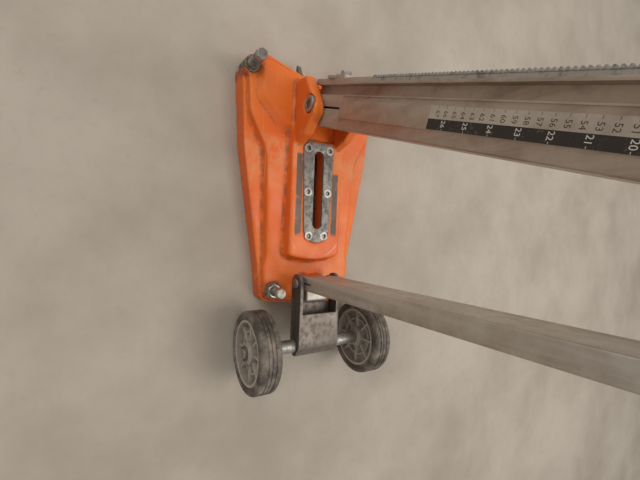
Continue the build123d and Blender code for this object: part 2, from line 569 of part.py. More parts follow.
def gear_rack():
    """Toothed steel bar in its seat on the column's front flange."""
    low, high = -FLANGE_HALF, RACK_WIDTH - FLANGE_HALF
    tip = RACK_PITCH - RACK_ADDENDUM
    root = RACK_PITCH + DEDENDUM
    bar = box(tip, RACK_SEAT, low, high, RACK_START + 0.3, RACK_END)
    pitch = pi * MODULE
    slope = tan(radians(PRESSURE_ANGLE))
    half_gap_pitch = pitch / 4
    half_tip = half_gap_pitch + RACK_ADDENDUM * slope
    half_root = half_gap_pitch - DEDENDUM * slope
    first = CARRIAGE_AT - pitch * int((CARRIAGE_AT - RACK_START - 4) / pitch)
    count = int((RACK_END - 2 - first) / pitch) + 1
    gap = make_face(Polyline((tip - 1, low - 1, -half_tip - slope), (root, low - 1, -half_root),
                             (root, low - 1, half_root), (tip - 1, low - 1, half_tip + slope), close=True))
    cutter = extrude(gap, amount=RACK_WIDTH + 2, dir=(0, 1, 0))
    cuts = [Pos(0, 0, first + n * pitch) * cutter for n in range(count)]
    bar = bar - cuts
    holes = [rod_x(tip - 1, RACK_SEAT + 1, rack_centre_y(), s, RACK_SCREW_R) for s in rack_screw_places()]
    return lean(bar - holes)


def rack_screws():
    """Screws of the rack, sunk below its teeth."""
    root = RACK_PITCH + DEDENDUM
    end = GROOVE_FRONT - SIDE_GAP
    screws = [rod_x(root + 0.6, end, rack_centre_y(), s, RACK_SCREW_R) for s in rack_screw_places()]
    return lean(Compound(children=screws))


def scale_strip():
    """Thin printed scale on the near rail."""
    return lean(box(RAIL_FRONT + 0.4, RAIL_REAR - 0.4, -RAIL_HALF - SCALE_T, -RAIL_HALF, SCALE_START, SCALE_END))


def stop_screw_s():
    """Distance of the end stop's screw along the column."""
    return STOP_START + STOP_LENGTH / 2


def end_stop():
    """Block on the column's front face, below the rack."""
    block = box(FRONT_FACE - STOP_HEIGHT, FRONT_FACE, STOP_Y - STOP_HALF, STOP_Y + STOP_HALF, STOP_START,
                STOP_START + STOP_LENGTH)
    return lean(block - rod_x(FRONT_FACE - 30, 0, STOP_Y, stop_screw_s(), STOP_SCREW_R))


def end_stop_screw():
    """Hexagon screw of the end stop."""
    s, face = stop_screw_s(), FRONT_FACE - STOP_HEIGHT
    head = Pos(face - STOP_HEAD_H, STOP_Y, s) * Rot(0, 90, 0) * extrude(
        RegularPolygon(STOP_HEAD_AF / 2, 6, major_radius=False), STOP_HEAD_H)
    return lean(head + rod_x(face, FRONT_FACE, STOP_Y, s, STOP_SCREW_R))


def front_step():
    """Low step on the column's front face, between its foot and the end stop."""
    near = -FLANGE_HALF
    return lean(box(FRONT_FACE - STEP_HEIGHT, FRONT_FACE, near, near + STEP_WIDTH, STEP_START, STOP_START))


def top_cap():
    """Cap that closes the column's top end."""
    top = COLUMN_FOOT + COLUMN_LENGTH
    cap = box(FRONT_FACE - 2, REAR_FACE + 2, -FLANGE_HALF - 2, FLANGE_HALF + 2, top, top + CAP_T)
    cap = fillet(cap.edges().filter_by(Axis.Z), 4)
    return lean(chamfer(cap.faces().sort_by(Axis.Z)[-1].edges(), 1.5))


def carry_handle():
    """Bent bar on the cap, to lift the stand by."""
    low = COLUMN_FOOT + COLUMN_LENGTH + CAP_T
    x = (FRONT_FACE + REAR_FACE) / 2
    half = FLANGE_HALF - 8
    path = FilletPolyline((x, -half, low), (x, -half, low + GRIP_RISE), (x, half, low + GRIP_RISE), (x, half, low),
                          radius=16)
    section = Plane(path @ 0, z_dir=path % 0) * Circle(GRIP_R * 0.7)
    return lean(sweep(section, path=path))


def stay_top():
    """Length of the stay between its pivots, and the clamp pivot's place along the column."""
    tilt, slant = radians(COLUMN_TILT), radians(STAY_LEAN)
    foot_across = STAY_PIN_X * cos(tilt) - (STAY_PIN_Z - PIVOT_Z) * sin(tilt)
    foot_along = STAY_PIN_X * sin(tilt) + (STAY_PIN_Z - PIVOT_Z) * cos(tilt)
    across_per_mm = sin(slant) * cos(tilt) - cos(slant) * sin(tilt)
    length = (STAY_TOP_OFFSET - foot_across) / across_per_mm
    along = foot_along + length * (sin(slant) * sin(tilt) + cos(slant) * cos(tilt))
    return length, along


def place_stay(shape):
    """Puts a part drawn upright on the stay's foot pin into its place."""
    return Pos(STAY_PIN_X, 0, STAY_PIN_Z) * Rot(0, STAY_LEAN, 0) * shape


def stay_tube():
    """Rectangular tube of the stay, with a forked, rounded and slit foot."""
    length, _ = stay_top()
    top = length - LUG_R - 6
    half_x, half_y = STAY_DEPTH / 2, STAY_WIDTH / 2
    tube = box(-half_x, half_x, -half_y, half_y, 0, top)
    tube = fillet(tube.edges().filter_by(Axis.Z), STAY_CORNER_R)
    tube += rod_y(0, 0, -half_y, half_y, half_x)
    inner_x, inner_y = half_x - STAY_WALL, half_y - STAY_WALL
    tube -= box(-inner_x, inner_x, -inner_y, inner_y, -STAY_DEPTH, top + 1)
    tube -= box(-half_x - 1, half_x + 1, -inner_y, inner_y, -STAY_DEPTH, STAY_FORK)
    slit = STAY_SLIT_W / 2
    tube -= box(-slit, slit, -half_y - 1, half_y + 1, -STAY_DEPTH, STAY_SLIT_L)
    tube -= rod_y(0, 0, -half_y - 1, half_y + 1, STAY_PIN_R + RUN)
    return place_stay(tube)


def stay_foot_bush():
    """Two rings inside the stay's fork, between its side walls and the casting's lug."""
    rings = []
    for sign in (-1, 1):
        y0, y1 = sorted((sign * (lug_half() + SIDE_GAP), sign * (STAY_WIDTH / 2 - STAY_WALL)))
        ring = rod_y(0, 0, y0, y1, STAY_BUSH_R) - rod_y(0, 0, y0 - 1, y1 + 1, STAY_PIN_R + RUN)
        rings.append(place_stay(ring))
    return Compound(children=rings)


def stay_head():
    """Forged head in the stay's top end, with the eye that faces the clamp's studs."""
    length, _ = stay_top()
    half_y = STAY_WIDTH / 2
    eye = rod_y(0, length, -half_y, half_y, LUG_R)
    neck = box(-LUG_R, LUG_R, -half_y, half_y, length - LUG_R - 6, length)
    inner = STAY_DEPTH / 2 - STAY_WALL
    plug = box(-inner, inner, -half_y + STAY_WALL, half_y - STAY_WALL, length - LUG_NECK, length - LUG_R - 6)
    return place_stay(eye + neck + plug - rod_y(0, length, -30, 30, CLAMP_STUD_R + 0.5))


def clamp_body():
    """Clamp that slides on the column's rear face, with two long ears for the stay's head."""
    _, along = stay_top()
    start = REAR_FACE + SLIDE_GAP
    base_top = start + CLAMP_BASE_T
    inner = STAY_WIDTH / 2 + 1.5
    outer = inner + CLAMP_EAR_T
    low, high = along - CLAMP_HALF_LENGTH, along + KNOB_OFFSET + 18
    body = box(start, base_top, -outer, outer, low, high)
    for sign in (-1, 1):
        y0, y1 = sorted((sign * inner, sign * outer))
        profile = make_face(FilletPolyline((start, y0, low), (STAY_TOP_OFFSET, y0, low + 6),
                                           (STAY_TOP_OFFSET + 18, y0, along), (STAY_TOP_OFFSET, y0, along + 20),
                                           (start, y0, along + 30), radius=[0, 12, 14, 12, 0], close=True))
        body += extrude(profile, amount=y1 - y0, dir=(0, 1, 0))
        body -= rod_y(STAY_TOP_OFFSET, along, y0 - 1, y1 + 1, CLAMP_STUD_R)
    body -= rod_x(start - 1, base_top + 1, 0, along + KNOB_OFFSET, CLAMP_BOLT_R + RUN)
    return lean(body)


def clamp_studs():
    """Short pivot studs in the clamp's ears, flush with the ears' inner faces."""
    _, along = stay_top()
    inner = STAY_WIDTH / 2 + 1.5
    studs = []
    for sign in (-1, 1):
        y0, y1 = sorted((sign * inner, sign * (inner + CLAMP_EAR_T)))
        h0, h1 = sorted((sign * (inner + CLAMP_EAR_T), sign * (inner + CLAMP_EAR_T + 5)))
        stud = rod_y(STAY_TOP_OFFSET, along, y0, y1, CLAMP_STUD_R)
        studs.append(stud + rod_y(STAY_TOP_OFFSET, along, h0, h1, CLAMP_STUD_R + 3.5))
    return lean(Compound(children=studs))


def clamp_bolt():
    """T bolt whose head runs in the column's rear slot."""
    _, along = stay_top()
    s = along + KNOB_OFFSET
    head_top = REAR_FACE - T_LIP - SLIDE_GAP
    head = box(REAR_FACE - T_DEPTH + SLIDE_GAP, head_top, -T_HEAD_HALF + SLIDE_GAP, T_HEAD_HALF - SLIDE_GAP, s - 9, s + 9)
    return lean(head + rod_x(head_top, REAR_FACE + CLAMP_BASE_T + 22, 0, s, CLAMP_BOLT_R))


def clamp_knob():
    """Star knob that tightens the T bolt."""
    _, along = stay_top()
    s = along + KNOB_OFFSET
    start = REAR_FACE + SLIDE_GAP + CLAMP_BASE_T + SLIDE_GAP
    knob = rod_x(start, start + 5, 0, s, KNOB_R * 0.5) + rod_x(start + 5, start + KNOB_L, 0, s, KNOB_R)
    for n in range(6):
        angle = radians(60 * n + 30)
        y, z = (KNOB_R + 3) * sin(angle), s + (KNOB_R + 3) * cos(angle)
        knob -= rod_x(start + 4, start + KNOB_L + 1, y, z, 8)
    return lean(knob - rod_x(start - 1, REAR_FACE + CLAMP_BASE_T + 23, 0, s, CLAMP_BOLT_R + RUN))


def pinion_axis():
    """Distance of the pinion's axis from the pivot plane, in front of the rack."""
    return RACK_PITCH - MODULE * PINION_TEETH / 2


def plate_inner():
    """Half gap between the carriage's side plates."""
    return FLANGE_HALF + SCALE_T + SLIDE_GAP + 0.8


def carriage_housing():
    """Welded carriage: two side plates joined by a yoke in front of the column."""
    inner = plate_inner()
    outer = inner + SIDE_PLATE_T
    low, high = CARRIAGE_AT - CARRIAGE_HALF, CARRIAGE_AT + CARRIAGE_HALF
    body = box(CARRIAGE_FRONT, CARRIAGE_FRONT + YOKE_T, -outer, outer, low, high)
    for sign in (-1, 1):
        y0, y1 = sorted((sign * inner, sign * outer))
        profile = make_face(FilletPolyline((CARRIAGE_FRONT, y0, low), (CARRIAGE_REAR, y0, low), (CARRIAGE_REAR, y0, high),
                                           (CARRIAGE_FRONT, y0, high), radius=[0, 16, 16, 0], close=True))
        body += extrude(profile, amount=SIDE_PLATE_T, dir=(0, 1, 0))
        for s in (CARRIAGE_AT - ROLLER_SPACING, CARRIAGE_AT + ROLLER_SPACING):
            body -= rod_y(ROLLER_X, s, y0 - 1, y1 + 1, ROLLER_BOLT_R)
        body -= rod_y(pinion_axis(), CARRIAGE_AT, y0 - 1, y1 + 1, SHAFT_R + SHAFT_BUSH_WALL)
    body -= rod_y(LOCK_X, CARRIAGE_AT + LOCK_S, inner - 1, outer + 1, LOCK_R + RUN)
    return lean(body)


def shaft_bushes():
    """Bronze bushes of the pinion shaft, pressed into the side plates."""
    inner = plate_inner()
    rings = []
    for sign in (-1, 1):
        y0, y1 = sorted((sign * inner, sign * (inner + SIDE_PLATE_T + 1.5)))
        ring = rod_y(pinion_axis(), CARRIAGE_AT, y0, y1, SHAFT_R + SHAFT_BUSH_WALL)
        rings.append(ring - rod_y(pinion_axis(), CARRIAGE_AT, y0 - 1, y1 + 1, SHAFT_R + RUN))
    return lean(Compound(children=rings))


def roller_places():
    """Name, side and distance from the pivot of each guide roller."""
    for end, s in (("lower", CARRIAGE_AT - ROLLER_SPACING), ("upper", CARRIAGE_AT + ROLLER_SPACING)):
        for side, sign in (("near", -1), ("far", 1)):
            yield end + "_" + side, sign, s


def roller_bolts():
    """Eccentric bolts that carry the guide rollers."""
    inner = plate_inner()
    outer = inner + SIDE_PLATE_T
    tip = GROOVE_FLOOR + 1.2
    bolts = []
    for _, sign, s in roller_places():
        y0, y1 = sorted((sign * tip, sign * outer))
        h0, h1 = sorted((sign * outer, sign * (outer + 5)))
        bolts.append(rod_y(ROLLER_X, s, y0, y1, ROLLER_BOLT_R) + rod_y(ROLLER_X, s, h0, h1, ROLLER_HEAD_R))
    return lean(Compound(children=bolts))


def guide_roller(sign, s):
    """Roller that runs between the walls of the column's side groove."""
    start = GROOVE_FLOOR + 1.5
    y0, y1 = sorted((sign * start, sign * (start + ROLLER_W)))
    return lean(rod_y(ROLLER_X, s, y0, y1, ROLLER_R) - rod_y(ROLLER_X, s, y0 - 1, y1 + 1, ROLLER_BOLT_R + RUN))


def pinion_profile():
    """Involute outline of the pinion with a tooth gap centred on +X."""
    pitch_r = MODULE * PINION_TEETH / 2
    base_r = pitch_r * cos(radians(PRESSURE_ANGLE))
    tip_r = pitch_r + MODULE
    root_r = pitch_r - DEDENDUM
    inv = tan(radians(PRESSURE_ANGLE)) - radians(PRESSURE_ANGLE)
    half_tooth = pi / (2 * PINION_TEETH) - BACKLASH / (2 * pitch_r)
    flank = []
    steps = 6
    for n in range(steps + 1):
        r = base_r + (tip_r - base_r) * n / steps
        pressure = acos(min(1.0, base_r / r))
        flank.append((r, half_tooth + inv - (tan(pressure) - pressure)))
    points = []
    for tooth in range(PINION_TEETH):
        centre = 2 * pi * tooth / PINION_TEETH
        rising = [(root_r, centre - flank[0][1])] + [(r, centre - a) for r, a in flank]
        falling = [(r, centre + a) for r, a in reversed(flank)] + [(root_r, centre + flank[0][1])]
        points += [(r * cos(a), r * sin(a)) for r, a in rising + falling]
    return make_face(Polyline(*points, close=True))


def pinion_shaft():
    """Feed shaft with its pinion, squared at the near end for the crank."""
    inner = plate_inner()
    gear_width = RACK_WIDTH - 2
    gear = extrude(pinion_profile(), gear_width)
    gear = Pos(pinion_axis(), rack_centre_y() + gear_width / 2, CARRIAGE_AT) * Rot(90, 0, 0) * gear
    near = -(inner + SIDE_PLATE_T + 1.5 + HUB_L + SIDE_GAP)
    far = inner + SIDE_PLATE_T + 8
    return lean(gear + rod_y(pinion_axis(), CARRIAGE_AT, near, far, SHAFT_R))


def shaft_collar():
    """Collar that keeps the feed shaft in place on the far side."""
    start = plate_inner() + SIDE_PLATE_T + 1.5 + SIDE_GAP
    return lean(rod_y(pinion_axis(), CARRIAGE_AT, start, start + 5, SHAFT_R + 5)
                - rod_y(pinion_axis(), CARRIAGE_AT, start - 1, start + 8, SHAFT_R))


def crank_hub():
    """Hub of the hand crank on the near end of the shaft."""
    start = -(plate_inner() + SIDE_PLATE_T + 1.5 + SIDE_GAP)
    hub = rod_y(pinion_axis(), CARRIAGE_AT, start - HUB_L, start, HUB_R)
    hub -= rod_y(pinion_axis(), CARRIAGE_AT, start - HUB_L - 1, start + 1, SHAFT_R)
    return lean(hub)


def spoke_places():
    """Angle of each crank spoke about the shaft, in degrees."""
    return [90 + 360 * n / SPOKES for n in range(SPOKES)]


def crank_part(start, length, radius):
    """Rods set round the crank's hub, each from start to start + length out from the shaft."""
    y = -(plate_inner() + SIDE_PLATE_T + 1.5 + SIDE_GAP + HUB_L / 2)
    parts = []
    for angle in spoke_places():
        rod = Rot(0, angle, 0) * Pos(start + length / 2, 0, 0) * Rot(0, 90, 0) * Cylinder(radius, length)
        parts.append(Pos(pinion_axis(), y, CARRIAGE_AT) * rod)
    return parts


def crank_spokes():
    """Spokes of the crank, screwed into flats on the hub."""
    return lean(Compound(children=crank_part(HUB_R + 0.02, SPOKE_L, SPOKE_R)))


def crank_knobs():
    """Grips on the spokes' ends."""
    start = HUB_R + SPOKE_L - CRANK_KNOB_L + 8
    inner = crank_part(start - 1, CRANK_KNOB_L - 8 + 1.04, SPOKE_R)
    grips = [fillet(g.edges().filter_by(GeomType.CIRCLE), 4) for g in crank_part(start, CRANK_KNOB_L, CRANK_KNOB_R)]
    return lean(Compound(children=[g - hole for g, hole in zip(grips, inner)]))


def motor_plate():
    """Plate on the carriage's front that the drill motor bolts to, with dovetailed flanks."""
    high = CARRIAGE_FRONT
    low = high - MOTOR_PLATE_T
    half, half_l = MOTOR_PLATE_W / 2, MOTOR_PLATE_L / 2
    plan = make_face(Polyline((high, -half + 8, CARRIAGE_AT - half_l), (low, -half, CARRIAGE_AT - half_l),
                              (low, half, CARRIAGE_AT - half_l), (high, half - 8, CARRIAGE_AT - half_l), close=True))
    plate = extrude(plan, amount=MOTOR_PLATE_L, dir=(0, 0, 1))
    for n in range(4):
        angle = radians(45 + 90 * n)
        y, z = MOTOR_PCD / 2 * cos(angle), CARRIAGE_AT + MOTOR_PCD / 2 * sin(angle)
        plate -= rod_x(low - 1, high + 1, y, z, MOTOR_HOLE_R)
    return lean(plate)


def lock_lever():
    """Lever that locks the carriage: its screw presses a pad on the column's far side."""
    inner = plate_inner()
    outer = inner + SIDE_PLATE_T
    s = CARRIAGE_AT + LOCK_S
    screw = rod_y(LOCK_X, s, RAIL_HALF + SLIDE_GAP, outer + 12, LOCK_R)
    boss = rod_y(LOCK_X, s, outer + SIDE_GAP, outer + 12, 11)
    arm = Pos(LOCK_X, outer + 7, s) * Rot(0, 35, 0) * Pos(0, 0, -LOCK_ARM_L / 2) * Box(11, 8, LOCK_ARM_L)
    return lean(screw + boss + arm)


def build():
    """Every node's name and shape."""
    nodes = {
        "base_casting": base_casting(),
        "slot_plate": slot_plate(),
        "slot_plate_screws": plate_screws(),
        "levelling_screw_bushes": screw_bushes(),
        "rear_lock_nuts": rear_lock_nuts(),
        "rear_lock_washers": rear_lock_washers(),
        "column_pivot_bolt": pivot_bolt(),
        "column_pivot_nut": pivot_nut(),
        "centre_pointer": centre_pointer(),
        "centre_pointer_pin": rod_y(POINTER_X, POINTER_Z, POINTER_Y - 14, POINTER_Y + 14, POINTER_PIN_R),
        "wheel_bracket": wheel_bracket(),
        "wheel_bracket_pins": Compound(children=bracket_pins()),
        "stay_pin": stay_pin(),
        "wheel_axle": wheel_axle(),
        "axle_spacers": axle_spacers(),
        "axle_clips": axle_clips(),
        "column_profile": column_profile(),
        "column_foot_block": foot_block(),
        "gear_rack": gear_rack(),
        "rack_screws": rack_screws(),
        "scale_strip": scale_strip(),
        "end_stop": end_stop(),
        "end_stop_screw": end_stop_screw(),
        "column_front_step": front_step(),
        "column_top_cap": top_cap(),
        "carry_handle": carry_handle(),
        "stay_tube": stay_tube(),
        "stay_foot_bush": stay_foot_bush(),
        "stay_head": stay_head(),
        "stay_clamp": clamp_body(),
        "stay_clamp_studs": clamp_studs(),
        "stay_clamp_bolt": clamp_bolt(),
        "stay_clamp_knob": clamp_knob(),
        "carriage_housing": carriage_housing(),
        "feed_shaft_bushes": shaft_bushes(),
        "guide_roller_bolts": roller_bolts(),
        "feed_shaft": pinion_shaft(),
        "feed_shaft_collar": shaft_collar(),
        "crank_hub": crank_hub(),
        "crank_spokes": crank_spokes(),
        "crank_grips": crank_knobs(),
        "motor_plate": motor_plate(),
        "carriage_lock_lever": lock_lever(),
    }
    for name, x, y, seat, top in screw_places():
        nodes["levelling_screw_" + name] = levelling_screw(x, y, seat, top)
    for name, sign, s in roller_places():
        nodes["guide_roller_" + name] = guide_roller(sign, s)
    for side, sign in (("near", -1), ("far", 1)):
        nodes["wheel_rim_" + side] = wheel_rim(sign)
        nodes["tyre_" + side] = tyre(sign)
    return nodes


if __name__ == "__main__":
    os.makedirs("parts", exist_ok=True)
    for node, shape in build().items():
        export_step(shape, "parts/" + node + ".step")
    stay_length, clamp_along = stay_top()
    print("stay length", round(stay_length, 2), "clamp at", round(clamp_along, 2))
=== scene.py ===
"""Looks of a wheeled drill stand: cast base, leaning column, stay, feed carriage and transport wheels.

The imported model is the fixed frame. Every class here holds one sub-assembly: its sizes are fields,
its methods model the pieces and dress them, and each piece rides on the body it belongs to. All
lengths are in metres, +X towards the wheels, +Z up, and z = 0 on the floor.
"""

from __future__ import annotations

import json
import logging
import math
from dataclasses import dataclass
from enum import Enum
from typing import Iterable, Sequence

import bpy
from mathutils import Matrix, Vector

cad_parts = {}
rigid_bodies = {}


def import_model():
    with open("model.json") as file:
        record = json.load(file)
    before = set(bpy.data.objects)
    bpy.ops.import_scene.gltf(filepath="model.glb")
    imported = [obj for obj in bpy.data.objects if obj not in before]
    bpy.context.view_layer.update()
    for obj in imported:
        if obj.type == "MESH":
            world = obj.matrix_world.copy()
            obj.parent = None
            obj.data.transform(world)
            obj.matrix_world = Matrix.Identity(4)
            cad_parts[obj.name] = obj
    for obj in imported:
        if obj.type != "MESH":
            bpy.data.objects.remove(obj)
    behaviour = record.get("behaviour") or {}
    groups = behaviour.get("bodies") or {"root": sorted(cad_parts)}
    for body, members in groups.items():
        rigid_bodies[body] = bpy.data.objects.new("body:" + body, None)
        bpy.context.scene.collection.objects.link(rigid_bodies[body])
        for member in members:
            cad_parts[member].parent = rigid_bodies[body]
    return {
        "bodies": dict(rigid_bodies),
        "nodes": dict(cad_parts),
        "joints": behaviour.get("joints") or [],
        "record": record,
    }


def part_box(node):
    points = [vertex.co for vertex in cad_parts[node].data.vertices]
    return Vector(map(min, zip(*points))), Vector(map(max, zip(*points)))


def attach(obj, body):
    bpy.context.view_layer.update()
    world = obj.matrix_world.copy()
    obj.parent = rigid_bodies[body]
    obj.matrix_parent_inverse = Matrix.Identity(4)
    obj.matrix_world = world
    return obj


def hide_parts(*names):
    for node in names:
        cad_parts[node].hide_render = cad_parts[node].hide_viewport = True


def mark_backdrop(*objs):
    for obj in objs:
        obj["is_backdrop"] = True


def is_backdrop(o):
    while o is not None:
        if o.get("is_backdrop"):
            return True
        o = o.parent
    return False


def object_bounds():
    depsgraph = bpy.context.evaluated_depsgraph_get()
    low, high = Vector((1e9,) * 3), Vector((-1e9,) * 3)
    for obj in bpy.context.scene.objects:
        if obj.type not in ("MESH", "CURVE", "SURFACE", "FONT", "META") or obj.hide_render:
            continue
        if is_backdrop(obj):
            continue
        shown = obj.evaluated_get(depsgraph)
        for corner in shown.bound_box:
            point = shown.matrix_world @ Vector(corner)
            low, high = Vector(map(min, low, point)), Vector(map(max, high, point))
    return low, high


LOG = logging.getLogger("drill_stand")
MM = 0.001
Point = tuple[float, float, float]
Colour = tuple[float, float, float]


class Way(Enum):
    """Direction of a turned piece's axis."""

    ALONG_X = "x"
    ALONG_Y = "y"
    ALONG_Z = "z"


def tone(red: int, green: int, blue: int) -> Colour:
    """Linear colour of an 8-bit screen colour.

    Args:
        red, green, blue: screen values from 0 to 255.

    Returns:
        The three linear values.
    """
    def linear(value: int) -> float:
        share = value / 255
        return share / 12.92 if share <= 0.04045 else ((share + 0.055) / 1.055) ** 2.4
    return linear(red), linear(green), linear(blue)


# ---------------------------------------------------------------- node trees


class Web:
    """A material's node tree round one Principled shader."""

    def __init__(self, name: str) -> None:
        """Starts an empty material called name."""
        self.material = bpy.data.materials.new(name)
        self.material.use_nodes = True
        self.tree = self.material.node_tree
        self.tree.nodes.clear()
        self.shader = self.tree.nodes.new("ShaderNodeBsdfPrincipled")
        output = self.tree.nodes.new("ShaderNodeOutputMaterial")
        self.join(self.shader.outputs["BSDF"], output.inputs["Surface"])
        self.coordinates = self.tree.nodes.new("ShaderNodeTexCoord")

    def join(self, start: bpy.types.NodeSocket, end: bpy.types.NodeSocket) -> None:
        """Links an output to an input."""
        self.tree.links.new(start, end)

    def feed(self, socket: bpy.types.NodeSocket, value: object) -> None:
        """Links a socket, or sets a plain value, on an input."""
        if isinstance(value, bpy.types.NodeSocket):
            self.join(value, socket)
        elif isinstance(value, tuple) and socket.type == "RGBA":
            socket.default_value = (*value, 1.0)
        else:
            socket.default_value = value

    def shade(self, **values: object) -> None:
        """Sets shader inputs by name, with underscores for spaces."""
        for name, value in values.items():
            self.feed(self.shader.inputs[name.replace("_", " ").capitalize()
                                         if name != "base_color" else "Base Color"], value)

    def place(self, scale: Point = (1, 1, 1), turn: Point = (0, 0, 0),
              shift: Point = (0, 0, 0)) -> bpy.types.NodeSocket:
        """Object coordinates, shifted, turned and scaled.

        Args:
            scale: factor along each axis.
            turn: angles in radians.
            shift: offset added last.

        Returns:
            The vector socket.
        """
        node = self.tree.nodes.new("ShaderNodeMapping")
        self.join(self.coordinates.outputs["Object"], node.inputs["Vector"])
        node.inputs["Scale"].default_value = scale
        node.inputs["Rotation"].default_value = turn
        node.inputs["Location"].default_value = shift
        return node.outputs["Vector"]

    def noise(self, scale: float, detail: float = 4, rough: float = 0.55, warp: float = 0,
              where: bpy.types.NodeSocket | None = None) -> bpy.types.NodeSocket:
        """Noise value at a scale per metre."""
        node = self.tree.nodes.new("ShaderNodeTexNoise")
        self.join(where or self.coordinates.outputs["Object"], node.inputs["Vector"])
        for name, value in (("Scale", scale), ("Detail", detail), ("Roughness", rough), ("Distortion", warp)):
            node.inputs[name].default_value = value
        return node.outputs["Fac"]

    def cells(self, scale: float, where: bpy.types.NodeSocket | None = None) -> bpy.types.NodeSocket:
        """Distance to the nearest of scattered points."""
        node = self.tree.nodes.new("ShaderNodeTexVoronoi")
        self.join(where or self.coordinates.outputs["Object"], node.inputs["Vector"])
        node.inputs["Scale"].default_value = scale
        return node.outputs["Distance"]

    def span(self, value: bpy.types.NodeSocket, low: float, high: float, start: float = 0.0,
             end: float = 1.0) -> bpy.types.NodeSocket:
        """Value mapped smoothly from low..high to start..end."""
        node = self.tree.nodes.new("ShaderNodeMapRange")
        node.interpolation_type = "SMOOTHSTEP"
        self.join(value, node.inputs["Value"])
        for name, number in (("From Min", low), ("From Max", high), ("To Min", start), ("To Max", end)):
            node.inputs[name].default_value = number
        return node.outputs["Result"]

    def sum(self, kind: str, first: object, second: object = 0.0) -> bpy.types.NodeSocket:
        """One arithmetic step, kind being a Math node's operation."""
        node = self.tree.nodes.new("ShaderNodeMath")
        node.operation = kind
        self.feed(node.inputs[0], first)
        self.feed(node.inputs[1], second)
        return node.outputs["Value"]

    def blend(self, share: object, first: object, second: object) -> bpy.types.NodeSocket:
        """Colour that goes from first to second as share goes from 0 to 1."""
        node = self.tree.nodes.new("ShaderNodeMix")
        node.data_type = "RGBA"
        self.feed(node.inputs[0], share)
        self.feed(node.inputs[6], first)
        self.feed(node.inputs[7], second)
        return node.outputs[2]

    def axis(self, letter: str, normal: bool = False) -> bpy.types.NodeSocket:
        """X, Y or Z of the object coordinates, or of the surface normal."""
        node = self.tree.nodes.new("ShaderNodeSeparateXYZ")
        self.join(self.coordinates.outputs["Normal" if normal else "Object"], node.inputs["Vector"])
        return node.outputs[letter]

    def edges(self, low: float, high: float) -> bpy.types.NodeSocket:
        """Share of a convex edge, from 0 on flats to 1 where it is sharpest."""
        node = self.tree.nodes.new("ShaderNodeNewGeometry")
        return self.span(node.outputs["Pointiness"], low, high)

    def bump(self, height: bpy.types.NodeSocket, strength: float, distance: float) -> None:
        """Adds a bump to the shader, on top of one that is there already."""
        node = self.tree.nodes.new("ShaderNodeBump")
        node.inputs["Strength"].default_value = strength
        node.inputs["Distance"].default_value = distance
        self.join(height, node.inputs["Height"])
        link = self.shader.inputs["Normal"].links
        if link:
            self.join(link[0].from_socket, node.inputs["Normal"])
        self.join(node.outputs["Normal"], self.shader.inputs["Normal"])


